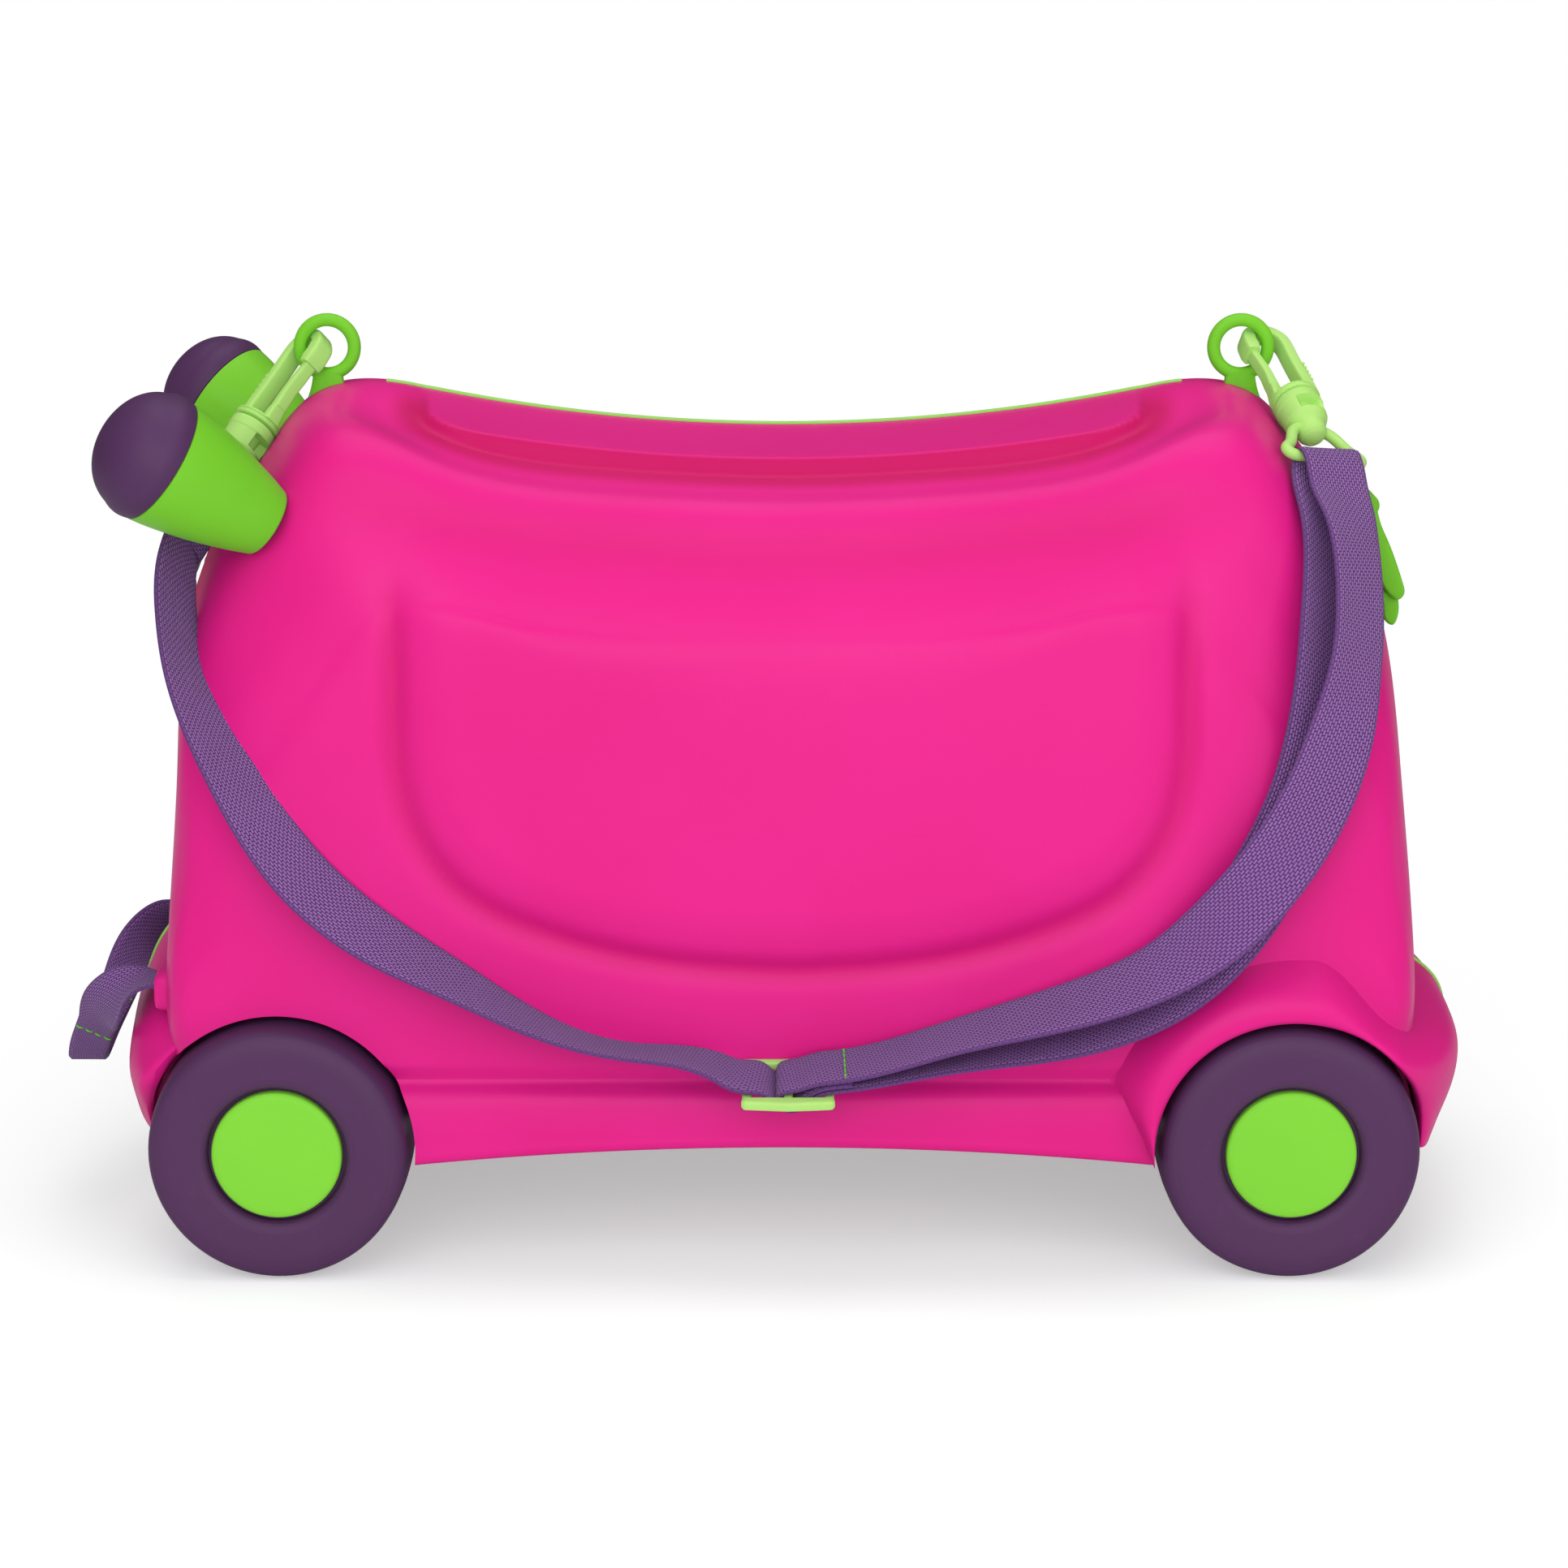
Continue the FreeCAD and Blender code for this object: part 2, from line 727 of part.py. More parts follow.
def place_frame(origin, up, across):
    """Matrix that carries a local frame (across, side, up) to its place."""
    up = FreeCAD.Vector(up)
    up.normalize()
    side = up.cross(across)
    side.normalize()
    out = side.cross(up)
    return FreeCAD.Matrix(out.x, side.x, up.x, origin.x,
                          out.y, side.y, up.y, origin.y,
                          out.z, side.z, up.z, origin.z,
                          0, 0, 0, 1)


button_share = 1.6
eye_shoulder_share = 0.8


def moved(shape, frame):
    placed = shape.copy()
    placed.Placement = FreeCAD.Placement(frame)
    return placed


def local_hook():
    """Snap hook on its collar: local Z along the hook, local X across its opening."""
    half = hook_half_width
    centre = hook_length - half
    arm_low = collar_thickness
    depth = point(0, hook_thickness, 0)
    back = hook_thickness / 2
    top = Part.makeCylinder(half, hook_thickness, point(0, -back, centre), Y_AXIS)
    top = top.cut(block(-half, half, -back, back, centre - half, centre))
    frame = block(-half, half, -back, back, arm_low, centre)
    hole = block(-hook_opening, half, -back, back, arm_low + hook_base, centre)
    nose = block(hook_opening, half, -back, back, centre - hook_nose, centre)
    opening = Part.makeCylinder(hook_opening, hook_thickness, point(0, -back, centre), Y_AXIS)
    shape = frame.cut(hole).fuse(top).cut(opening).fuse(nose)
    collar = Part.makeCylinder(collar_radius, collar_thickness, ORIGIN, Z_AXIS)
    stem = Part.makeCylinder(swivel_stem_radius, barrel_length / 2, point(0, 0, -barrel_length / 2), Z_AXIS)
    button_radius = swivel_stem_radius * button_share
    button = Part.makeCylinder(button_radius, eye_wire, point(0, 0, -barrel_length / 2 - eye_wire), Z_AXIS)
    pivot = gate_pivot()
    pin_hole = Part.makeCylinder(gate_pin_radius, 2 * hook_thickness, pivot - depth, Y_AXIS)
    seat = block(hook_opening - gate_thickness / 2, half + overrun, -gate_half() - gate_gap,
                 gate_half() + gate_gap,
                 arm_low + gate_gap, arm_low + hook_base + overrun)
    ears = block(hook_opening, half, -back, back, arm_low, pivot.z + gate_thickness / 2)
    shape = shape.fuse(ears).cut(seat).cut(pin_hole)
    return shape.fuse([collar, stem, button])


def gate_half():
    return hook_thickness / 4


def gate_pivot():
    x = (hook_opening + hook_half_width) / 2
    return point(x, 0, collar_thickness + gate_thickness / 2 + 2 * gate_gap)


def local_gate():
    """Sprung bar that closes the hook's mouth."""
    pivot = gate_pivot()
    half = gate_thickness / 2
    top = hook_length - hook_half_width - hook_nose - gate_gap
    bar = block(pivot.x - half, pivot.x + half, -gate_half(), gate_half(), pivot.z, top)
    knuckle = Part.makeCylinder(half, 2 * gate_half(), point(pivot.x, -gate_half(), pivot.z), Y_AXIS)
    start = point(pivot.x, -hook_thickness, pivot.z)
    hole = Part.makeCylinder(gate_pin_radius + hinge_running, 2 * hook_thickness, start, Y_AXIS)
    return bar.fuse(knuckle).cut(hole)


def local_gate_pin():
    pivot = gate_pivot()
    start = point(pivot.x, -hook_thickness / 2, pivot.z)
    return Part.makeCylinder(gate_pin_radius, hook_thickness, start, Y_AXIS)


def local_eye():
    """Swivel barrel with windows and the loop that the webbing goes through: local Z towards the hook."""
    top = -swivel_gap
    barrel = Part.makeCylinder(barrel_radius, barrel_length, point(0, 0, top - barrel_length), Z_AXIS)
    hollow_radius = swivel_stem_radius * button_share + swivel_gap
    neck_radius = swivel_stem_radius + swivel_gap
    button_top = -barrel_length / 2
    roof = button_top + swivel_gap
    floor = button_top - eye_wire - swivel_gap
    hollow = Part.makeCylinder(hollow_radius, roof - floor, point(0, 0, floor), Z_AXIS)
    neck = Part.makeCylinder(neck_radius, barrel_length, point(0, 0, roof), Z_AXIS)
    window = block(-window_width / 2, window_width / 2, -collar_radius, collar_radius, floor,
                   floor + window_height)
    barrel = barrel.cut(hollow).cut(neck).cut(window)
    half = webbing_width / 2 + eye_slack + eye_wire
    high = top - barrel_length
    bar_z = high - eye_depth
    left = point(-half, 0, bar_z)
    right = point(half, 0, bar_z)
    shoulder = barrel_radius * eye_shoulder_share
    crown = high + eye_wire / 2
    wire_points = [left, right, point(shoulder, 0, crown), point(-shoulder, 0, crown)]
    loop = None
    for start, end in zip(wire_points, wire_points[1:] + wire_points[:1]):
        piece = rod(eye_wire, start, end).fuse(Part.makeSphere(eye_wire, end))
        loop = piece if loop is None else loop.fuse(piece)
    return barrel.fuse(loop)


def clip(origin, up, across, eye_across):
    """Hook, gate, gate pin and eye of one snap hook at its place."""
    hook_frame = place_frame(origin, up, across)
    eye_frame = place_frame(origin, up, eye_across)
    made = []
    for shape, frame in ((local_hook(), hook_frame), (local_gate(), hook_frame),
                         (local_gate_pin(), hook_frame), (local_eye(), eye_frame)):
        made.append(moved(shape, frame))
    bar_z = -swivel_gap - barrel_length - eye_depth
    bar = eye_frame.multVec(point(0, 0, bar_z))
    return made, bar


# Places of the two snap hooks: the angle of the contact round the ring, and the direction from the ring down
# to the webbing, the side of the gate and the direction of the eye's bar
front_contact_angle = -25
rear_contact_angle = -8
front_clip_shares = ((-0.5, -0.5, -0.707), (0.664, -0.747, 0.053), (0.5, -0.85, 0.1))
rear_clip_shares = ((0.243, -0.827, -0.505), (-0.824, -0.286, 0.072), (0.8, 0.5, -0.1))


def ring_clip(direction, contact_angle, clip_shares):
    """Snap hook hung on one ring, with the middle of its eye's bar."""
    down, across, eye_across = [point(*shares) for shares in clip_shares]
    down.normalize()
    angle = math.radians(contact_angle)
    x = direction * (ring_place + ring_radius * math.cos(angle))
    contact = point(x, 0, ring_height + ring_radius * math.sin(angle))
    seat = hook_length - hook_half_width - hook_slack
    return clip(contact + down * seat, -down, across, eye_across)


# Strap route as shares of the half length, half width and seat height; the ends come from the two eyes.
# The webbing's width turns from the first direction by way of the second to the third.
strap_front_shares = (
    (-0.950, -0.46, 0.902),
    (-0.969, -0.64, 0.852),
    (-0.961, -0.79, 0.784),
    (-0.918, -0.97, 0.707),
    (-0.850, -1.10, 0.614),
    (-0.764, -1.145, 0.517),
    (-0.650, -1.165, 0.440),
    (-0.518, -1.17, 0.381),
    (-0.398, -1.18, 0.331),
    (-0.250, -1.185, 0.295),
    (-0.105, -1.187, 0.276),
)
strap_rear_shares = (
    (0.120, -1.187, 0.274),
    (0.300, -1.185, 0.299),
    (0.554, -1.18, 0.375),
    (0.718, -1.17, 0.461),
    (0.817, -1.14, 0.553),
    (0.859, -1.10, 0.636),
    (0.890, -1.03, 0.716),
    (0.901, -0.92, 0.807),
    (0.894, -0.78, 0.878),
)
strap_middle_share = (0.0064, -1.205, 0.266)
front_width_shares = ((0.552, -0.798, 0.174), (0.7, -0.6, 0.4), (0.0, -0.95, -0.31))
rear_width_shares = ((0.0, -0.95, -0.31), (-0.9, -0.4, 0.6), (-0.9, -0.386, 0.198))
spread_shares = (0.4, 0.5, 0.8, 1.0, 1.0, 1.0, 1.0, 0.9, 0.6)
inner_share = 0.6


def turning(width_shares, count):
    """Width directions along a run, turned smoothly by way of a middle direction."""
    first, middle, last = [point(*shares) for shares in width_shares]
    widths = []
    for index in range(count):
        share = index / (count - 1)
        rest = 1 - share
        widths.append(first * rest ** 2 + middle * (2 * share * rest) + last * share ** 2)
    return widths


def share_points(shares):
    return [point(half_length * x, half_width * y, seat_height * z) for x, y, z in shares]


def frames(route, widths):
    """Width and normal of a band at each place of its route."""
    made = []
    for index, width in enumerate(widths):
        along = route[min(index + 1, len(route) - 1)] - route[max(index - 1, 0)]
        along.normalize()
        flat = FreeCAD.Vector(width)
        if 0 < index < len(route) - 1:
            flat = width - along * width.dot(along)
        flat.normalize()
        normal = along.cross(flat)
        normal.normalize()
        made.append((flat, normal))
    return made


def ribbon(route, widths, breadths, thicknesses):
    """Flat band through the route, ruled from one cross-section to the next."""
    sections = []
    for place, frame, breadth, thickness in zip(route, frames(route, widths), breadths, thicknesses):
        half = frame[0] * (breadth / 2)
        skin = frame[1] * (thickness / 2)
        corners = [place + half + skin, place - half + skin, place - half - skin, place + half - skin]
        sections.append(Part.makePolygon(corners + [corners[0]]))
    return Part.makeLoft(sections, True, True)


def webbing(route, widths):
    return ribbon(route, widths, [webbing_width] * len(route), [webbing_thickness] * len(route))


def below_bar(bar, beyond):
    """Place where the webbing stops short of an eye's bar."""
    along = beyond - bar
    along.normalize()
    return bar + along * (eye_wire + 2 * strap_clearance)


def strap(front_bar, rear_bar):
    """Long run from the front eye to the rear eye, and the return run from there to the length adjuster."""
    front = share_points(strap_front_shares)
    front = [below_bar(front_bar, front[0])] + front
    front_widths = turning(front_width_shares, len(front))
    rear = share_points(strap_rear_shares)
    rear = rear + [below_bar(rear_bar, rear[-1])]
    rear_widths = turning(rear_width_shares, len(rear))
    spreads = [strap_spread * share for share in spread_shares] + [webbing_thickness / 2 + strap_clearance]
    inner = []
    outer = []
    for place, frame, spread in zip(rear, frames(rear, rear_widths), spreads):
        inner.append(place - frame[1] * (spread * inner_share))
        outer.append(place + frame[1] * spread)
    middle = share_points([strap_middle_share])
    long_run = webbing(front + middle + inner, front_widths + [rear_widths[0]] + rear_widths)
    return Part.makeCompound([long_run, webbing(outer, rear_widths)])


def tri_glide():
    """Length adjuster under the strap: a flat frame with a bar across its middle."""
    middle = share_points([strap_middle_share])[0]
    width = point(*front_width_shares[-1])
    width.normalize()
    normal = point(1, 0, 0).cross(width)
    half_length_across = glide_length / 2
    slot = webbing_width / 2 + glide_slack
    half_breadth = slot + glide_bar
    half_thickness = glide_thickness / 2
    frame = block(-half_length_across, half_length_across, -half_breadth, half_breadth,
                  -half_thickness, half_thickness)
    corners = [edge for edge in frame.Edges if abs(edge.tangentAt(edge.FirstParameter).z) > slot / half_breadth]
    frame = frame.makeFillet(glide_corner, corners)
    for side in (-1, 1):
        bounds = sorted((side * glide_bar / 2, side * (half_length_across - glide_bar)))
        frame = frame.cut(block(bounds[0], bounds[1], -slot, slot, -glide_thickness, glide_thickness))
    off = webbing_thickness / 2 + strap_clearance + half_thickness
    return moved(frame, place_frame(middle + normal * off, normal, point(1, 0, 0)))


# Tow loop: (share of the reach past the mouth, share of the slot's place, share of the drop, share of the
# change from flat webbing to the sewn hold, direction of the width), from the left slot to the middle
tow_shares = (
    (-0.35, 1.0, 0.0, 0.0, (0.0, -1.0, 0.0)),
    (0.15, 1.0, 0.0, 0.0, (0.0, -1.0, 0.0)),
    (0.4, 0.93, 0.12, 0.1, (0.3, -0.9, -0.4)),
    (0.62, 0.76, 0.29, 0.5, (0.6, -0.7, -0.5)),
    (0.78, 0.45, 0.55, 1.0, (0.9, -0.35, -0.2)),
    (0.95, 0.18, 0.87, 1.0, (1.0, -0.1, 0.0)),
    (1.0, 0.0, 1.0, 1.0, (1.0, 0.0, 0.0)),
)


def tow_loop():
    """Webbing from the left slot down to its sewn hold and back up to the right slot."""
    route = []
    widths = []
    breadths = []
    thicknesses = []
    for out, side, drop, hold, direction in tow_shares:
        x = -tow_mouth - (tow_reach - tow_mouth) * out
        route.append(point(x, -tow_slot_place * side, tow_slot_height - tow_drop * drop))
        widths.append(point(*direction))
        breadths.append(webbing_width + (tow_hold_width - webbing_width) * hold)
        thicknesses.append(webbing_thickness + (tow_hold_thickness - webbing_thickness) * hold)
    route += [point(place.x, -place.y, place.z) for place in reversed(route[:-1])]
    widths += [point(width.x, -width.y, width.z) for width in reversed(widths[:-1])]
    breadths += breadths[-2::-1]
    thicknesses += thicknesses[-2::-1]
    return ribbon(route, widths, breadths, thicknesses)


def build():
    os.makedirs("parts", exist_ok=True)
    outer, left = left_half()
    right = mirror_y(left)
    seal = [seal_top()]
    seal.append(seal_end(-1, front_reach, front_nose_height))
    seal.append(seal_end(1, rear_reach, rear_nose_height))
    for strip in seal:
        left = left.cut(strip)
    for x in (-ring_place, ring_place):
        left = left.cut(stem_notch(x, 0))
        right = right.cut(stem_notch(x, seam_gap))
    left = left.fuse(knuckles(-1, hinge_pin_radius))
    right = right.fuse(knuckles(1, hinge_pin_radius + hinge_running))
    save("left_shell", left)
    save("right_shell", right)
    pin_start = point(-hinge_length / 2, 0, hinge_height)
    save("hinge_pin", rod(hinge_pin_radius, pin_start, point(hinge_length / 2, 0, hinge_height)))
    save("seam_seal", Part.makeCompound(seal))
    save("front_ring", strap_ring(-ring_place))
    save("rear_ring", strap_ring(ring_place))
    for end, direction in (("front", -1), ("rear", 1)):
        save(end + "_latch_base", latch_base(direction))
        save(end + "_latch_flap", latch_flap(direction))
        save(end + "_latch_pin", latch_pin(direction))
        save(end + "_keeper", keeper(direction))
        tyre, cap, axle = wheel(direction * axle_x)
        for name, shape in (("tyre", tyre), ("hub_cap", cap), ("axle", axle)):
            save(end + "_left_" + name, shape)
            save(end + "_right_" + name, mirror_y(shape))
    horn, tip = grip()
    horn = horn.cut(outer)
    save("left_grip", horn)
    save("left_grip_tip", tip)
    save("right_grip", mirror_y(horn))
    save("right_grip_tip", mirror_y(tip))
    bars = []
    front_clip = ring_clip(-1, front_contact_angle, front_clip_shares)
    rear_clip = ring_clip(1, rear_contact_angle, rear_clip_shares)
    for end, (made, bar) in (("front", front_clip), ("rear", rear_clip)):
        for name, shape in zip(("hook", "gate", "gate_pin", "eye"), made):
            save(end + "_" + name, shape)
        bars.append(bar)
    save("strap", strap(bars[0], bars[1]))
    save("tri_glide", tri_glide())
    save("tow_loop", tow_loop())


build()
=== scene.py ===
import math

import bmesh
import bpy
import numpy as np
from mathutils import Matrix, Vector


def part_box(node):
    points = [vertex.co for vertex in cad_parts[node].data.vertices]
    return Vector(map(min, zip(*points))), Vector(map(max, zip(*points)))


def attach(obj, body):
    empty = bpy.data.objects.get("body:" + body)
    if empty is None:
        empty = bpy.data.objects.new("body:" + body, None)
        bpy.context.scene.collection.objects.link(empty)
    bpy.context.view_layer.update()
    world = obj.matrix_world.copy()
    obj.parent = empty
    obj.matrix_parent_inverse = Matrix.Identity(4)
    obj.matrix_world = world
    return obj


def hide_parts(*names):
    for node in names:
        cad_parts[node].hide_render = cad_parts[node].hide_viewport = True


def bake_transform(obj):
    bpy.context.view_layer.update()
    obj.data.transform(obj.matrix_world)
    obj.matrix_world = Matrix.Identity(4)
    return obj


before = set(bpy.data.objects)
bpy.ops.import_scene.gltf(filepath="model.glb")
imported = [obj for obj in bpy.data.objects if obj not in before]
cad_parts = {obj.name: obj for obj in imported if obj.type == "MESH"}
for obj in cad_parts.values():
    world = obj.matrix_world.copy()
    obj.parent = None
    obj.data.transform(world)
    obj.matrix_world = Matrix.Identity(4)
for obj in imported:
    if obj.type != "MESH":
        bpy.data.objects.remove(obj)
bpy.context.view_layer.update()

# Lengths below are in millimetres; a piece's mesh is in metres
MM = 0.001

# Case
half_length = 220.0
half_width = 91.0
seat_height = 289.3
saddle_rise = 17.7
shoulder_drop = 121.0
top_fall = 60.0
end_inset = 36.0
belly_height = 52.0
belly_rise = 8.0
lower_wall_height = 107.0
lower_turn_height = 80.0
lower_corner_height = 58.0
wall = 3.2
seam_gap = 0.3
hub_height = 170.0
pad_half_length = 126.0
pad_half_width = 44.0
pad_slope = 0.135
pad_corner = 20.0
pad_step = 4.5
pad_ditch = 7.6
ditch_place = 14.0
ditch_spreads = (24.0, 15.0)
top_dip = 2.0
panel_half_length = 136.0
panel_top = 250.0
panel_bottom = 110.0
panel_rise = 3.4
panel_dome = 1.2
panel_groove = 2.3
groove_spread = 4.6
waist_hollow = 1.3
waist_spread = 12.0
panel_start = 58.0
wall_swell = 3.0
wall_swell_reach = 8.0
hinge_length = 120.0
hinge_count = 5
hinge_height = 40.0
knuckle_radius = 5.0
knuckle_bore = 2.1

# Skirt, wheels and bumpers
board_root = 84.0
board_top = 69.0
board_end_bottom = 40.0
board_sag = 6.5
axle_x = 177.3
axle_z = 46.0
well_radius = 48.0
well_back = 61.5
arch_foot = 42.0
front_reach = 237.5
front_top = 112.0
bumper_foot = 41.0
bumper_root = 200.0
bumper_depth = 16.0
skirt_overlap = 2.8
housing_radius = 12.0
boss_start = 40.0
boss_end = 64.6

# Fittings
ring_place = 164.0
ring_height = 317.0
ring_radius = 9.7
ring_wire = 2.35
pocket_half_width = 24.0
pocket_top_height = 277.0
pocket_low_height = 207.0
pocket_top_floor = 188.0
pocket_low_floor = 206.0
grip_foot = (-179.4, -69.1, 264.4)
grip_joint = (-212.4, -84.1, 287.6)
grip_foot_radius = 12.6
grip_joint_radius = 22.5
grip_tip_length = 22.5
grip_root_length = 22.0
grip_root_radius = 4.5
seal_half_length = 143.0
rear_seal_start = (221.0, 70.0)
front_seal_start = (-214.0, 84.0)
webbing_width = 25.0
webbing_thickness = 1.7
hook_length = 42.5
hook_half_width = 9.0
hook_opening = 5.2
hook_depth = 7.0
hook_bar = 4.2
hook_slack = 2.0
collar_radius = 8.7
collar_thickness = 2.6
swivel_gap = 0.3
barrel_length = 15.5
eye_wire = 2.2
eye_depth = 16.0
eye_slack = 1.4
glide_length = 32.0
glide_bar = 3.6
glide_thickness = 3.2
tow_slot_place = 60.0
tow_slot_height = 97.0
tow_mouth = 222.5
tow_reach = 259.0
tow_drop = 44.0
tow_hold_width = 14.5
tow_hold_thickness = 3.6
stitch_radius = 0.38


# Curves and surfaces


def smooth(share):
    """Smooth step: 3 s^2 - 2 s^3, with s held between 0 and 1."""
    held = np.clip(share, 0, 1)
    return held * held * (3 - 2 * held)


def unit(vectors):
    """Vectors divided by their lengths."""
    vectors = np.asarray(vectors, float)
    return vectors / np.linalg.norm(vectors, axis=-1, keepdims=True)


def chord_lengths(points):
    """Distance of each point along a line of points."""
    return np.concatenate([[0], np.cumsum(np.linalg.norm(np.diff(points, axis=0), axis=1))])


def full_turn(steps):
    """Angles round a closed ring, the last the same as the first."""
    turn = np.linspace(0, 2 * np.pi, steps + 1)
    turn[-1] = 0
    return turn


def spread(*coordinates):
    """Grid of points from coordinates that are spread to one shape."""
    return np.stack(np.broadcast_arrays(*coordinates), -1)


def whole_cells(marked):
    """Cells of a grid with all four corners marked."""
    corners = [marked[:-1, :-1], marked[1:, :-1], marked[1:, 1:], marked[:-1, 1:]]
    return np.all(np.stack(corners, -1), axis=-1).ravel()


def through(points, samples, knots=None, closed=False):
    """Cubic curve through points: second derivatives that solve the spline's equations, with natural ends,
    or periodic where closed. Samples are a count, or places on the knots, which are chord lengths by
    default."""
    points = np.asarray(points, float)
    if closed:
        points = np.concatenate([points, points[:1]])
    if knots is None:
        knots = chord_lengths(points)
    knots = np.asarray(knots, float)
    gaps = np.diff(knots)
    slopes = np.diff(points, axis=0) / gaps[:, None]
    count = len(points)
    inner = np.arange(1, count - 1)
    matrix = np.eye(count)
    matrix[inner, inner - 1] = gaps[:-1]
    matrix[inner, inner] = 2 * (gaps[:-1] + gaps[1:])
    matrix[inner, inner + 1] = gaps[1:]
    right = np.zeros_like(points)
    right[1:-1] = 6 * np.diff(slopes, axis=0)
    if closed:
        matrix[0, 0] = 2 * (gaps[0] + gaps[-1])
        matrix[0, 1] = gaps[0]
        matrix[0, -2] = gaps[-1]
        right[0] = 6 * (slopes[0] - slopes[-1])
        matrix[-1, 0] = -1
    bends = np.linalg.solve(matrix, right)
    if np.ndim(samples) == 0:
        samples = np.linspace(knots[0], knots[-1], samples)
    samples = np.asarray(samples, float)
    low = np.clip(np.searchsorted(knots, samples, side="right") - 1, 0, count - 2)
    gap = gaps[low][:, None]
    after = ((samples - knots[low]) / gaps[low])[:, None]
    before = 1 - after
    bend = (before ** 3 - before) * bends[low] + (after ** 3 - after) * bends[low + 1]
    return before * points[low] + after * points[low + 1] + bend * gap ** 2 / 6


def grid_faces(rows, columns):
    """Four corners of each cell of a grid, counted row by row."""
    corner = np.arange(rows * columns).reshape(rows, columns)
    cells = [corner[:-1, :-1], corner[1:, :-1], corner[1:, 1:], corner[:-1, 1:]]
    return np.stack(cells, -1).reshape(-1, 4)


def swept(path, widths, section):
    """Section carried along a path: path + u times the width direction + v times the normal, with the width
    turned square to the path and the normal square to both."""
    along = unit(np.gradient(path, axis=0))
    widths = np.broadcast_to(widths, path.shape)
    flat = unit(widths - along * np.sum(widths * along, axis=1, keepdims=True))
    normal = np.cross(along, flat)
    section = np.broadcast_to(section, (len(path),) + np.shape(section)[-2:])
    return path[:, None] + flat[:, None] * section[..., :1] + normal[:, None] * section[..., 1:]


def capped(grid):
    """Grid with its first and last rows drawn together to their middles, which closes both ends."""
    ends = [np.broadcast_to(row.mean(axis=0), row.shape) for row in (grid[0, :-1], grid[-1, :-1])]
    first = np.concatenate([ends[0], ends[0][:1]])
    last = np.concatenate([ends[1], ends[1][:1]])
    return np.concatenate([first[None], grid, last[None]])


def with_ends(rows):
    """Rows with the first and last repeated."""
    return np.concatenate([rows[:1], rows, rows[-1:]])


def rounded_section(half_across, half_deep, squareness, count):
    """Closed section between an ellipse and a rectangle: cosine and sine raised to 2 over the
    squareness."""
    turn = full_turn(count)
    power = 2 / squareness
    across = half_across * np.sign(np.cos(turn)) * np.abs(np.cos(turn)) ** power
    deep = half_deep * np.sign(np.sin(turn)) * np.abs(np.sin(turn)) ** power
    return np.stack([across, deep], -1)


def turned(profile, base, axis, steps):
    """Profile of (distance along the axis, radius) turned about the axis: base + a along + r round it."""
    axis = unit(axis)
    helper = np.array([0.0, 0.0, 1.0]) if abs(axis[2]) < 0.9 else np.array([1.0, 0.0, 0.0])
    first = unit(np.cross(axis, helper))
    second = np.cross(axis, first)
    turn = full_turn(steps)
    ring = np.cos(turn)[:, None] * first + np.sin(turn)[:, None] * second
    profile = np.asarray(profile, float)
    return np.asarray(base, float) + profile[:, None, :1] * axis + profile[:, None, 1:] * ring


def mirrored(grid):
    """The same grid on the other side of the seam."""
    return grid * np.array([1.0, -1.0, 1.0])


def make_piece(name, grids, body, finish, sharp=40, inside=None, uvs=None, keeps=None, painted_shades=None):
    """One mesh of one or more grids, welded where they meet. Closed shapes have their faces turned
    outwards; an open skin has them turned away from a point inside it."""
    points = []
    faces = []
    coordinates = []
    start = 0
    for index, grid in enumerate(grids):
        rows, columns = grid.shape[:2]
        cells = grid_faces(rows, columns)
        if keeps is not None and keeps[index] is not None:
            cells = cells[keeps[index]]
        points.append(grid.reshape(-1, 3))
        faces.append(cells + start)
        if uvs is not None:
            coordinates.append(uvs[index].reshape(-1, 2))
        start += rows * columns
    points = np.concatenate(points)
    faces = np.concatenate(faces)
    mesh = bpy.data.meshes.new(name)
    mesh.from_pydata((points * MM).tolist(), [], faces.tolist())
    if uvs is not None:
        corners = np.concatenate(coordinates)[faces.ravel()]
        mesh.uv_layers.new(name="UVMap").data.foreach_set("uv", corners.ravel())
    # Per-point share of painted shade, which the pink finish darkens.
    if painted_shades is not None:
        mesh.attributes.new("painted_shade", "FLOAT", "POINT").data.foreach_set("value", painted_shades.ravel())
    shape = bmesh.new()
    shape.from_mesh(mesh)
    bmesh.ops.remove_doubles(shape, verts=shape.verts, dist=2e-6)
    loose = [vertex for vertex in shape.verts if not vertex.link_faces]
    bmesh.ops.delete(shape, geom=loose, context="VERTS")
    if inside is None:
        bmesh.ops.recalc_face_normals(shape, faces=shape.faces)
    shape.to_mesh(mesh)
    shape.free()
    if inside is not None:
        turn_away(mesh, np.asarray(inside) * MM)
    mesh.shade_smooth()
    mesh.set_sharp_from_angle(angle=math.radians(sharp))
    mesh.materials.append(finish.material)
    piece = bpy.data.objects.new(name, mesh)
    bpy.context.scene.collection.objects.link(piece)
    if body:
        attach(piece, body)
    return piece


def turn_away(mesh, inside):
    """Flip all faces if most of their area looks towards the point inside."""
    count = len(mesh.polygons)
    normals = np.empty(count * 3)
    centres = np.empty(count * 3)
    areas = np.empty(count)
    mesh.polygons.foreach_get("normal", normals)
    mesh.polygons.foreach_get("center", centres)
    mesh.polygons.foreach_get("area", areas)
    outward = np.sum(normals.reshape(-1, 3) * (centres.reshape(-1, 3) - inside), axis=1)
    if np.sum(outward * areas) < 0:
        mesh.flip_normals()


# Finishes


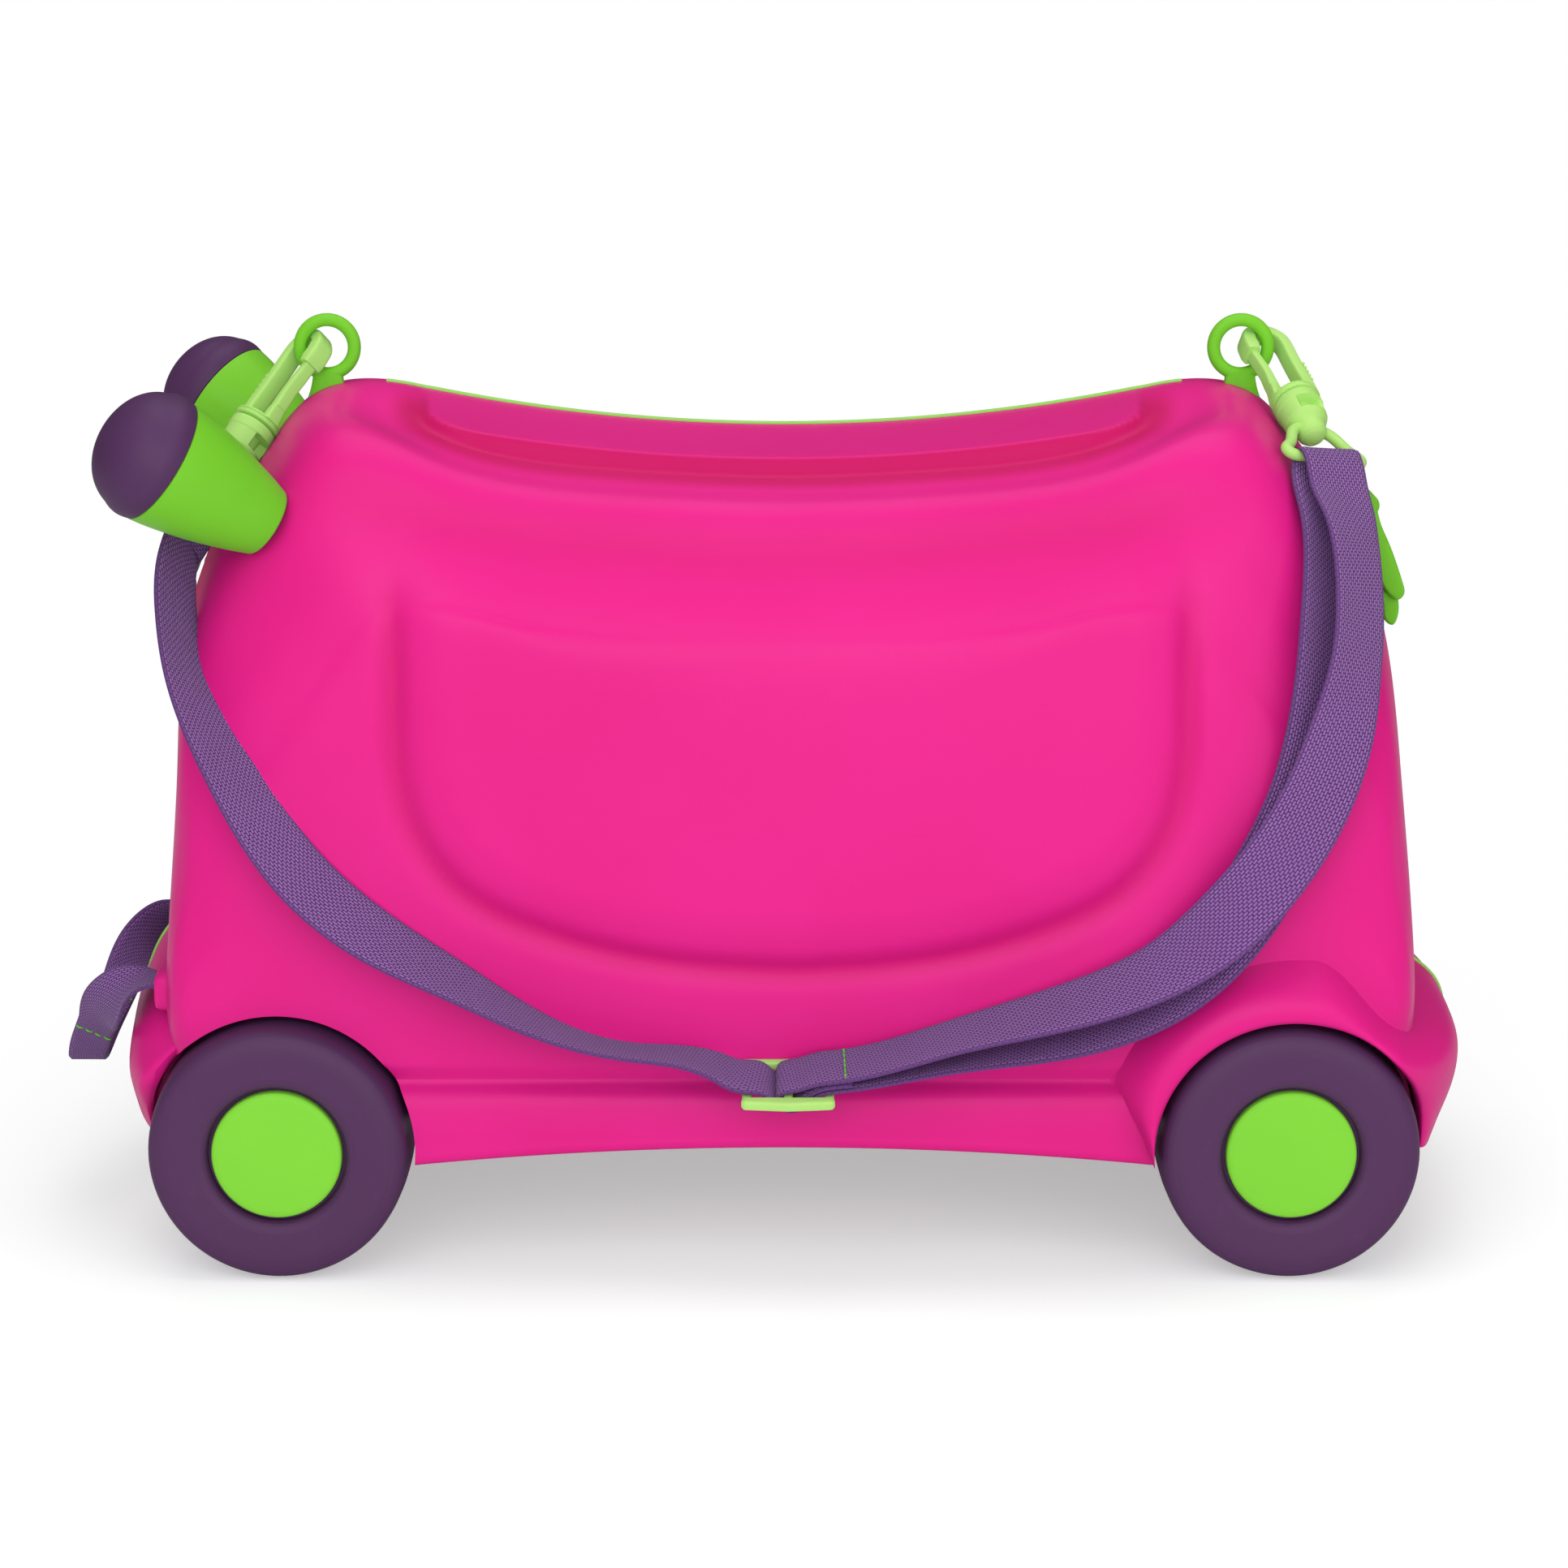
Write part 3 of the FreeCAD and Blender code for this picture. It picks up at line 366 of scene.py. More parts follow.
class Value:
    """Output of a node that can stand in Python sums."""

    def __init__(self, nodes, socket):
        self.nodes = nodes
        self.socket = socket

    def maths(self, operation, first, second=0.0):
        return self.nodes.node("ShaderNodeMath", {"operation": operation}, {0: first, 1: second})

    def __add__(self, other):
        return self.maths("ADD", self, other)

    def __radd__(self, other):
        return self.maths("ADD", other, self)

    def __sub__(self, other):
        return self.maths("SUBTRACT", self, other)

    def __rsub__(self, other):
        return self.maths("SUBTRACT", other, self)

    def __mul__(self, other):
        return self.maths("MULTIPLY", self, other)

    def __truediv__(self, other):
        return self.maths("DIVIDE", self, other)

    def floor(self):
        return self.maths("FLOOR", self)

    def fraction(self):
        return self.maths("FRACT", self)

    def size(self):
        return self.maths("ABSOLUTE", self)

    def ramp(self, low, high, start=0.0, end=1.0, kind="LINEAR"):
        """From start at low to end at high."""
        sockets = {"Value": self, "From Min": low, "From Max": high, "To Min": start, "To Max": end}
        return self.nodes.node("ShaderNodeMapRange", {"interpolation_type": kind}, sockets)

    def between(self, low, high):
        """0 at low, 1 at high, smooth between them."""
        return self.ramp(low, high, kind="SMOOTHSTEP")


class Nodes:
    """Node tree of a material or of the world."""

    def __init__(self, tree):
        self.tree = tree

    def node(self, kind, settings=None, sockets=None, out=0):
        """Node of a type: its settings first, then the values or links of its sockets."""
        made = self.tree.nodes.new(kind)
        for key, setting in (settings or {}).items():
            setattr(made, key, setting)
        for key, value in (sockets or {}).items():
            self.feed(made.inputs[key], value)
        return Value(self, made.outputs[out])

    def feed(self, socket, value):
        if isinstance(value, Value):
            self.tree.links.new(value.socket, socket)
        else:
            socket.default_value = value

    def split(self, vector):
        """The three numbers of a vector."""
        return [self.node("ShaderNodeSeparateXYZ", None, {0: vector}, out) for out in range(3)]

    def light_path(self, out):
        return self.node("ShaderNodeLightPath", out=out)


class Finish(Nodes):
    """One node material and the material slot that it stands for."""

    def __init__(self, name, slot):
        self.slot = slot
        self.material = bpy.data.materials.new(name)
        self.material.use_nodes = True
        super().__init__(self.material.node_tree)
        self.tree.nodes.clear()
        self.shader = self.tree.nodes.new("ShaderNodeBsdfPrincipled")
        self.surface = self.tree.nodes.new("ShaderNodeOutputMaterial").inputs["Surface"]
        self.feed(self.surface, Value(self, self.shader.outputs["BSDF"]))

    def shade(self, **sockets):
        """Values or links of the shader's own sockets, with _ for a space in a name."""
        for key, value in sockets.items():
            self.feed(self.shader.inputs[key.replace("_", " ")], value)

    def place(self):
        return self.node("ShaderNodeTexCoord", out="Object")

    def noise(self, scale, detail=2.0, roughness=0.5, stretch=(1.0, 1.0, 1.0)):
        """Noise from 0 to 1 with a number of features per metre, drawn out along an axis."""
        vector = self.node("ShaderNodeMapping", None, {"Vector": self.place(), "Scale": stretch})
        sockets = {"Vector": vector, "Scale": scale, "Detail": detail, "Roughness": roughness}
        return self.node("ShaderNodeTexNoise", None, sockets)

    def mix(self, factor, first, second):
        """Colour between two, by a factor."""
        return self.node("ShaderNodeMix", {"data_type": "RGBA"}, {0: factor, 6: first, 7: second}, out=2)

    def bump(self, height, distance):
        """Normal of a height in shares of a distance in metres."""
        return self.node("ShaderNodeBump", None, {"Height": height, "Distance": distance, "Strength": 1.0})


def colour(red, green, blue):
    """Linear colour of a screen colour from 0 to 255."""
    shares = np.array([red, green, blue]) / 255
    linear = np.where(shares <= 0.04045, shares / 12.92, ((shares + 0.055) / 1.055) ** 2.4)
    return tuple(linear) + (1.0,)


def moulded_plastic(name, slot, main, worn, roughness, grain, painted_bounce_grey=None, deep=None):
    """Injection-moulded plastic: cloudy colour, fine spark-eroded grain, dull handled patches and hairline
    scuffs along the length. Where deep is given, it is a darker colour painted as shade into the creases that
    the per-point attribute marks; where the grey is given, diffuse rays see that grey instead, so the light
    the plastic bounces onto the floor is painted grey."""
    finish = Finish(name, slot)
    cloud = finish.noise(9.0, 3.0)
    handled = finish.noise(26.0, 4.0, 0.6)
    scuffs = finish.noise(420.0, 3.0, 0.65, (0.12, 1.0, 1.6)).between(0.66, 0.78)
    pores = finish.noise(2600.0, 2.0)
    tint = cloud.between(0.3, 0.75) * 0.5 + scuffs * 0.25
    shown = finish.mix(tint, main, worn)
    # Painted shade: the creases that the per-point attribute marks are mixed towards the darker deep colour.
    if deep:
        settings = {"attribute_type": "GEOMETRY", "attribute_name": "painted_shade"}
        shown = finish.mix(finish.node("ShaderNodeAttribute", settings, out="Fac"), shown, deep)
    # Painted bounce light: diffuse rays see the grey instead of the plastic's colour, so the plastic throws no
    # coloured light onto the floor's shadow.
    if painted_bounce_grey:
        shown = finish.mix(finish.light_path("Is Diffuse Ray") * 0.9, shown, painted_bounce_grey)
    finish.shade(
        Base_Color=shown,
        Roughness=roughness + (handled - 0.5) * 0.16 + scuffs * 0.1,
        Specular_IOR_Level=0.16,
        Normal=finish.bump(pores * 0.7 + scuffs * 0.3, grain),
    )
    return finish


def soft_rubber(name, slot, main, dusty):
    """Matte moulded rubber: fine pebbling, dull cloud and a little pale dust in the grain."""
    finish = Finish(name, slot)
    cloud = finish.noise(18.0, 3.0)
    pebble = finish.noise(1500.0, 2.0)
    dust = finish.noise(130.0, 5.0, 0.65).between(0.58, 0.8)
    finish.shade(
        Base_Color=finish.mix(cloud * 0.3 + dust * 0.3, main, dusty),
        Roughness=0.46 + cloud * 0.12 + dust * 0.1,
        Specular_IOR_Level=0.28,
        Normal=finish.bump(pebble, 0.00004),
    )
    return finish


def brushed_steel(name, slot):
    """Drawn steel pin with fine lines and light tarnish."""
    finish = Finish(name, slot)
    lines = finish.noise(900.0, 2.0, 0.5, (0.05, 1.0, 1.0))
    tarnish = finish.noise(120.0, 3.0)
    finish.shade(
        Base_Color=finish.mix(tarnish, colour(196, 198, 202), colour(150, 148, 146)),
        Metallic=1.0,
        Roughness=0.22 + lines * 0.2,
        Normal=finish.bump(lines, 0.00002),
    )
    return finish


def woven_webbing(name, slot):
    """Woven webbing on its own map, in millimetres across and along: staggered yarns with dark slits
    between them, and a tight rolled edge."""
    finish = Finish(name, slot)
    across, along, _ = finish.split(finish.node("ShaderNodeUVMap", {"uv_map": "UVMap"}))
    across = across * 1000
    along = along * 1000
    wander = finish.noise(700.0, 2.0) - 0.5
    column = across / 1.05
    row = (along + wander * 0.5) / 2.3 + column.floor() * 0.5 + column * 0.06
    yarn_across = (column.fraction() - 0.5).size()
    yarn_along = (row.fraction() - 0.5).size()
    yarn = (1 - yarn_across.between(0.26, 0.46)) * (1 - yarn_along.between(0.34, 0.48))
    edge = (across.size() - webbing_width / 2 + 1.5).between(0.0, 0.7)
    fibre = finish.noise(2400.0, 3.0, 0.6)
    fade = finish.noise(24.0, 3.0)
    dark = colour(70, 28, 98)
    light = finish.mix(fade * 0.5 + fibre * 0.25, colour(166, 116, 188), colour(140, 90, 164))
    body = finish.mix(yarn, dark, light)
    finish.shade(
        Base_Color=finish.mix(edge * 0.7, body, colour(104, 60, 128)),
        Roughness=0.74 + fibre * 0.16,
        Sheen_Weight=0.12,
        Specular_IOR_Level=0.3,
        Normal=finish.bump(yarn * 0.8 + fibre * 0.3, 0.0003),
    )
    return finish


def sewing_thread(name, slot):
    """Bright twisted thread: fine slanted strands."""
    finish = Finish(name, slot)
    strand = finish.noise(2600.0, 2.0, 0.5, (1.0, 1.0, 0.4))
    finish.shade(
        Base_Color=finish.mix(strand, colour(122, 232, 44), colour(86, 190, 30)),
        Roughness=0.55 + strand * 0.2,
        Normal=finish.bump(strand, 0.0001),
    )
    return finish


shell_grain = 0.000012
fine_grain = 0.000006
# The pink's grey is painted bounce light, seen by diffuse rays only, and its darker pink is painted shade in
# the creases.
pink = moulded_plastic("pink_shell", "shell_pink", colour(241, 34, 146), colour(230, 24, 130),
                       0.38, shell_grain, colour(140, 132, 136), colour(210, 12, 102))
green = moulded_plastic("grip_green", "green_plastic", colour(128, 214, 50), colour(118, 204, 44),
                        0.38, fine_grain)
hub_green = moulded_plastic("hub_green", "green_plastic", colour(138, 226, 64), colour(130, 216, 58),
                            0.38, fine_grain)
clip_green = moulded_plastic("clip_green", "clip_green", colour(190, 239, 132), colour(178, 230, 118),
                             0.42, fine_grain)
seal_green = soft_rubber("seal_green", "seal_green", colour(164, 226, 104), colour(140, 206, 84))
purple = soft_rubber("wheel_purple", "wheel_purple", colour(82, 44, 88), colour(98, 62, 104))
tip_purple = soft_rubber("tip_purple", "tip_purple", colour(80, 42, 88), colour(98, 62, 104))
steel = brushed_steel("pin_steel", "steel")
webbing = woven_webbing("purple_webbing", "webbing")
thread = sewing_thread("green_thread", "webbing")


# Case halves

saddle_shares = (0.0, 0.24, 0.48, 0.68)
shoulder_shares = ((0.76, 0.03), (0.836, 0.165), (0.909, 0.355), (0.955, 0.537), (0.982, 0.735), (0.99, 1.0))
belly_shares = (0.68, 0.34)
lower_wall_share = 1.015
lower_turn_share = 1.012
lower_corner_share = 0.975
lower_inset_share = 0.42
rear_lean = 4.6
# Levels from the seam to the side wall: shares of the half width, top fall, end inset and belly rise
level_shares = np.array([
    (0.0, 0.0, 0.0, 0.0),
    (0.33, 0.025, 0.08, 0.0),
    (0.53, 0.065, 0.18, 0.0),
    (0.66, 0.12, 0.26, 0.0),
    (0.75, 0.21, 0.32, 0.0),
    (0.835, 0.4, 0.38, 0.05),
    (0.91, 0.67, 0.5, 0.2),
    (0.965, 0.86, 0.7, 0.5),
    (1.0, 1.0, 1.0, 1.0),
])


def saddle(x):
    """Rise of the seat line away from its middle: a parabola."""
    return saddle_rise * (x / (half_length * saddle_shares[-1])) ** 2


def case_loop(fall, inset, rise):
    """Outline of the case in X and Z, closed, from the seat's middle round the rear."""
    reach = half_length - inset
    top = seat_height - top_dip - fall
    half = [(reach * share, top + saddle(reach * share)) for share in saddle_shares]
    crest = half[-1][1]
    for x_share, drop in shoulder_shares:
        eased = 1 - (1 - lower_inset_share) * smooth((drop - 0.1) / 0.95)
        half.append(((half_length - inset * eased) * x_share, crest - shoulder_drop * drop))
    lower = half_length - inset * lower_inset_share
    half.append((lower * lower_wall_share, lower_wall_height))
    half.append((lower * lower_turn_share, lower_turn_height))
    half.append((lower * lower_corner_share, lower_corner_height + rise))
    half += [(lower * share, belly_height + rise) for share in belly_shares]
    half.append((0, belly_height + rise))
    rear = [(x + rear_lean * smooth((x - 120) / 60) * smooth((250 - z) / 110), z) for x, z in half]
    return np.array(rear + [(-x, z) for x, z in reversed(half[1:-1])])


def polar(loop, angles):
    """Distance of a closed outline from the case's middle, by angle."""
    curve = through(loop, 4000, closed=True)
    found = np.arctan2(curve[:, 1] - hub_height, curve[:, 0])
    order = np.argsort(found)
    radius = np.hypot(curve[:, 0], curve[:, 1] - hub_height)
    return np.interp(angles, found[order], radius[order], period=2 * np.pi)


class CaseForm:
    """Distance of the case's skin from its middle, by angle and by the path from the seam to the side wall:
    a cubic curve through the levels, the same on both sides of the seam."""

    def __init__(self, angles):
        self.angles = angles
        falls = level_shares * (half_width, top_fall, end_inset, belly_rise)
        radii = [polar(case_loop(*fall[1:]), angles) for fall in falls]
        path = chord_lengths(falls[:, :2])
        self.path = np.concatenate([-path[:0:-1], path])
        self.radii = np.concatenate([radii[:0:-1], radii])
        self.depths = np.concatenate([falls[:0:-1, 0] * -1, falls[:, 0]])[:, None]
        self.end = path[-1]

    def rows(self, places):
        return through(self.radii, places, self.path), -through(self.depths, places, self.path)


def inward(points):
    """How deep points lie inside the case's skin, in millimetres."""
    places = np.linspace(0, plain_form.end, 240)
    radii, depths = plain_form.rows(places)
    place = np.interp(points[..., 1], depths[::-1, 0], places[::-1])
    row = np.clip(place / plain_form.end * (len(places) - 1), 0, len(places) - 1.001)
    angle = np.arctan2(points[..., 2] - hub_height, points[..., 0]) % (2 * np.pi)
    column = angle / (2 * np.pi) * (len(plain_form.angles) - 1)
    row_low = row.astype(int)
    column_low = np.clip(column.astype(int), 0, len(plain_form.angles) - 2)
    row_share = row - row_low
    column_share = column - column_low
    upper = radii[row_low, column_low] * (1 - column_share) + radii[row_low, column_low + 1] * column_share
    row_low = row_low + 1
    lower = radii[row_low, column_low] * (1 - column_share) + radii[row_low, column_low + 1] * column_share
    radius = upper * (1 - row_share) + lower * row_share
    depth = radius - np.hypot(points[..., 0], points[..., 2] - hub_height)
    return np.where(points[..., 1] < -half_width, points[..., 1] + half_width, depth)


plain_form = CaseForm(np.linspace(0, 2 * np.pi, 721))

panel_side_shares = ((1.0, 0.72), (0.99, 0.47), (0.94, 0.325), (0.85, 0.21), (0.665, 0.11), (0.33, 0.025))


def with_pad(x, y, z):
    """Raised seat: within a rounded rectangle in plan the top lifts to the seat line less a roof's slope,
    over an S-shaped step with a soft ditch outside it. Also returns a mask of painted shade for the band
    under the step."""
    corner_x = np.abs(x) - pad_half_length + pad_corner
    corner_y = np.abs(y) - pad_half_width + pad_corner
    beyond = np.hypot(np.maximum(corner_x, 0), np.maximum(corner_y, 0))
    distance = pad_corner - beyond - np.minimum(np.maximum(corner_x, corner_y), 0)
    seat = seat_height - pad_slope * np.abs(y) + saddle(x)
    width = np.where(distance > -ditch_place, *ditch_spreads)
    ditch = pad_ditch * np.exp(-((distance + ditch_place) / width) ** 2) * smooth((np.abs(y) - 4) / 40)
    sunk = z - ditch
    lifted = sunk + (seat - sunk) * smooth((distance + pad_step) / pad_step)
    # Painted shade: a band just outside the step, where its shade falls, is marked to be darkened in colour.
    painted_shade = smooth((distance + 16) / 10) * (1 - smooth((distance + 1.2) / 1.4)) * smooth((np.abs(y) - 4) / 24)
    upper = z > lower_wall_height * 2
    return np.where(upper, lifted, z), np.where(upper, painted_shade, 0)


panel_shift = 2.5
panel_foot_shares = ((0.955, 1.36), (0.985, 1.1), (1.0, 0.9))


def panel_side():
    """Right half of the panel's groove in X and Z, from well above its top down to its foot."""
    half = [(panel_half_length * x_share, panel_bottom + (panel_top - panel_bottom) * z_share)
            for x_share, z_share in panel_foot_shares + panel_side_shares]
    return through(np.array(half + [(0, panel_bottom)]), 260)


def with_panel(x, y, z):
    """Side pillow: the wall rises by a smooth step of the distance inside the groove and of the distance
    below the waist, less a soft groove along its sides and foot and a shallow dip along the waist. Also
    returns a mask of painted shade that darkens the groove and the dip."""
    side = panel_side()
    across = np.abs(x - panel_shift)
    nearest = np.full(x.shape, 1e6)
    for point in side:
        nearest = np.minimum(nearest, np.hypot(across - point[0], z - point[1]))
    order = np.argsort(side[:, 1])
    within = np.interp(z, side[order, 1], side[order, 0], left=-1e3)
    distance = np.where(across < within, nearest, -nearest)
    below = panel_top + saddle(x) - z
    outside = smooth((-y - panel_start) / 16)
    dome = panel_dome * smooth(1.1 - (across / panel_half_length) ** 2 - ((z - 180) / 75) ** 2)
    pillow = (panel_rise * smooth((distance + 4) / 24) + dome) * smooth((below + 8) / 34)
    groove = panel_groove * np.exp(-(distance / groove_spread) ** 2) * smooth((below - 2) / 46)
    waist = np.exp(-((below + 6) / waist_spread) ** 2) * (1 - smooth((np.abs(x) - 120) / 60))
    waist = waist_hollow * waist
    # Painted shade: the groove and the waist's dip are marked to be darkened in colour.
    painted_shade = outside * (0.5 * groove / panel_groove + 0.32 * waist / waist_hollow)
    return y + outside * (groove + waist - pillow), painted_shade


def with_pocket(x, y, z, depth):
    """Latch pocket: the end wall is held back to a sloped floor."""
    share = (pocket_top_height - z) / (pocket_top_height - pocket_low_height)
    floor = pocket_top_floor + (pocket_low_floor - pocket_top_floor) * share - depth
    within = (np.abs(y) < pocket_half_width + depth) & (share > -depth / 70) & (share < 1 + depth / 70)
    return np.where(within, np.sign(x) * np.minimum(np.abs(x), floor), x)


def from_axle(x, z, side):
    return np.hypot(x - side * axle_x, z - axle_z)


def cut_wells(grid, radius, back):
    """Open the two wheel arches: points inside move to the arch's circle, and cells wholly inside are left
    out. Returns the grid and the cells to keep."""
    grid = grid.copy()
    x, y, z = grid[..., 0], grid[..., 1], grid[..., 2]
    gone = np.zeros(grid.shape[:2], bool)
    for side in (-1, 1):
        distance = from_axle(x, z, side)
        inside = (distance < radius) & (y < -back)
        push = np.where(inside, radius / np.maximum(distance, 1), 1)
        new_x = side * axle_x + (x - side * axle_x) * push
        new_z = axle_z + (z - axle_z) * push
        x = new_x
        z = new_z
        gone |= inside
    return np.stack([x, y, z], -1), ~whole_cells(gone)


def case_skin():
    """Outside of the left half: rows from the seam to the side wall, then in towards the panel's middle."""
    seam = through(case_loop(0, 0, 0), 601, closed=True)
    angles = np.unwrap(np.arctan2(seam[:, 1] - hub_height, seam[:, 0]))
    form = CaseForm(angles)
    by_seam = np.linspace(0, 36, 14)
    by_seat = np.linspace(36, 60, 40)[1:]
    places = np.concatenate([by_seam, by_seat, np.linspace(60, form.end, 36)[1:]])
    radii, depths = form.rows(places)
    y = np.broadcast_to(np.minimum(depths, -seam_gap / 2), radii.shape)
    last = radii[-1]
    inner = last * np.concatenate([np.linspace(1, 0.8, 22), np.linspace(0.8, 0, 56)[1:]])[1:, None]
    swell = wall_swell * (1 - np.exp((inner - last) / wall_swell_reach))
    swell = swell * smooth((hub_height + inner * np.sin(angles) - board_top) / wall_swell_reach)
    radii = np.concatenate([radii, inner])
    y = np.concatenate([y, -half_width - swell])
    x = radii * np.cos(angles)
    z = hub_height + radii * np.sin(angles)
    # Both shapes also give the marks of painted shade: the panel's groove and waist, and the band under the
    # seat's step.
    y, painted_shade = with_panel(x, y, z)
    z, step = with_pad(x, y, z)
    x = with_pocket(x, y, z, 0)
    grid = np.stack([x, y, z], -1)
    grid[:, -1] = grid[:, 0]
    return cut_wells(grid, well_radius, well_back) + (np.maximum(painted_shade, step),)


def case_liner():
    """Inside of the left half and its rim: the plain form drawn in by the wall, and down beside the
    seat."""
    seam = through(case_loop(0, 0, 0), 241, closed=True)
    angles = np.unwrap(np.arctan2(seam[:, 1] - hub_height, seam[:, 0]))
    form = CaseForm(angles)
    radii, depths = form.rows(np.linspace(0, form.end, 40))
    middle = (seat_height + belly_height) / 2
    scale = 1 - wall / np.array([half_length, half_width, seat_height - middle])
    radii = np.concatenate([radii, radii[-1] * np.linspace(1, 0, 24)[1:, None]])
    y = np.concatenate([depths[:, 0], np.full(23, -half_width)])[:, None] * np.ones(len(angles))
    outer = hub_height + radii * np.sin(angles)
    sunk = np.minimum(with_pad(radii * np.cos(angles), y, outer)[0] - outer, 0)
    x = radii * np.cos(angles) * scale[0]
    z = middle + (outer - middle) * scale[2] + sunk
    x = with_pocket(x, y, z, wall)
    grid = np.stack([x, np.minimum(y * scale[1], -seam_gap / 2), z], -1)
    rim = np.stack([radii[0] * np.cos(angles), grid[0, :, 1], hub_height + radii[0] * np.sin(angles)], -1)
    rim[:, 2] = with_pad(rim[:, 0], rim[:, 1], rim[:, 2])[0]
    grid = np.concatenate([rim[None], grid])
    grid[:, -1] = grid[:, 0]
    return cut_wells(grid, well_radius + wall, well_back - wall)


def well_lining(side):
    """Inside of one wheel arch and its back: a round wall as deep as the skin goes, then a disc behind it;
    the boss that carries the axle is a piece of its own."""
    turn = np.radians(np.linspace(-20, 200, 111))
    depth = np.linspace(0, 1, 24)[:, None]
    x = side * axle_x + well_radius * np.cos(turn)
    z = axle_z + well_radius * np.sin(turn)
    sample = np.linspace(-well_back, -half_width, 60)[:, None]
    points = spread(x, sample, z)
    covered = inward(points) > -0.4
    edge = np.where(covered, sample, -well_back).min(axis=0)
    outer = np.where(z > belly_height + belly_rise, np.minimum(edge, -well_back), edge)
    y = -well_back + (outer + well_back) * depth
    round_wall = spread(x, y, z)
    shares = np.linspace(1, 0, 14)[:, None]
    flat_z = axle_z + np.maximum(well_radius * np.sin(turn), arch_foot - axle_z) * shares
    back = spread(side * axle_x + well_radius * np.cos(turn) * shares, -well_back, flat_z)
    return [round_wall, back]


def cells_inside(grid):
    """Cells of a grid with all four corners well inside the case's wall."""
    return whole_cells(inward(grid) > wall)


def well_drum(side):
    """The same arch seen from inside the case: a round wall and its end."""
    turn = np.radians(np.linspace(-10, 190, 81))
    radius = well_radius + wall
    x = side * axle_x + radius * np.cos(turn)
    z = axle_z + radius * np.sin(turn)
    y = np.linspace(-well_back + wall, -half_width + wall, 12)[:, None]
    round_wall = spread(x, y, z)
    shares = np.linspace(1, 0, 10)[:, None]
    end_x = side * axle_x + (x - side * axle_x) * shares
    end = spread(end_x, -well_back + wall, axle_z + (z - axle_z) * shares)
    return [round_wall, end], [cells_inside(round_wall), cells_inside(end)]


def axle_boss(side):
    """Round boss behind a wheel that carries its stub axle, with a softened rim."""
    profile = [(boss_start, 0), (boss_start, housing_radius - 1), (boss_start + 1, housing_radius),
               (boss_end - 1.1, housing_radius), (boss_end, housing_radius - 1), (boss_end, 0)]
    return turned(profile, (side * axle_x, 0, axle_z), (0, -1, 0), 48)


# Running board: (distance from the seam, height, share of the hollowed lower edge)
board_profile = ((90.4, 75.0, 0.0), (91.0, 71.5, 0.0), (91.6, 69.2, 0.0), (93.4, 67.4, 0.0), (95.6, 64.6, 0.0),
                 (96.8, 59.0, 0.0), (97.2, 52.0, 0.3), (97.2, 46.0, 0.7), (96.8, 41.5, 1.0), (95.8, 40.3, 1.0),
                 (94.2, 40.6, 1.0), (92.6, 42.4, 1.0), (90.5, 46.0, 1.0), (86.0, 50.0, 1.0))


def running_board():
    """Step between the wheels: its profile carried from arch to arch, with a lower edge hollowed as a
    parabola."""
    profile = through(board_profile, 56)
    run = np.linspace(-1, 1, 90)[:, None]
    height = profile[:, 1] - axle_z
    reach = axle_x - np.sqrt(np.maximum(well_radius ** 2 - height ** 2, 0))
    x = run * reach
    z = profile[:, 1] + profile[:, 2] * board_sag * (1 - run ** 2)
    return spread(x, -profile[:, 0], z)


# Rear fender and bumper as one form round the rear axle: angle and outer radius, then the section's share of
# the way out from the arch and its distance from the seam, as a fender on the wall, as a bumper low across the
# end, and as its keel higher up
rear_outline = ((184, 48.8), (180, 50.6), (173, 54.5), (160, 66.5), (148, 69.8), (120, 71.0), (90, 71.6),
                (75, 71.8), (63, 70.0), (53, 68.4), (45, 69.0), (38, 71.2), (29, 73.8), (23, 73.0),
                (12, 67.4), (2, 61.0), (-5, 57.5))
fender_section = ((0.0, 93), (0.0, 102), (0.03, 105.4), (0.14, 107), (0.36, 106.2), (0.58, 102.2), (0.78, 96.4),
                  (0.93, 92.2), (1.03, 90.4), (1.06, 84))
bumper_section = ((0.0, 92), (0.0, 99), (0.02, 103.4), (0.1, 105), (0.3, 101.5), (0.55, 91.5), (0.77, 77),
                  (0.925, 55), (0.985, 28), (1.0, 0.15))
keel_section = ((0.0, 92), (0.0, 99), (0.02, 103.4), (0.08, 105), (0.22, 101.5), (0.4, 91.5), (0.56, 77),
                (0.72, 55), (0.88, 28), (1.0, 0.15))


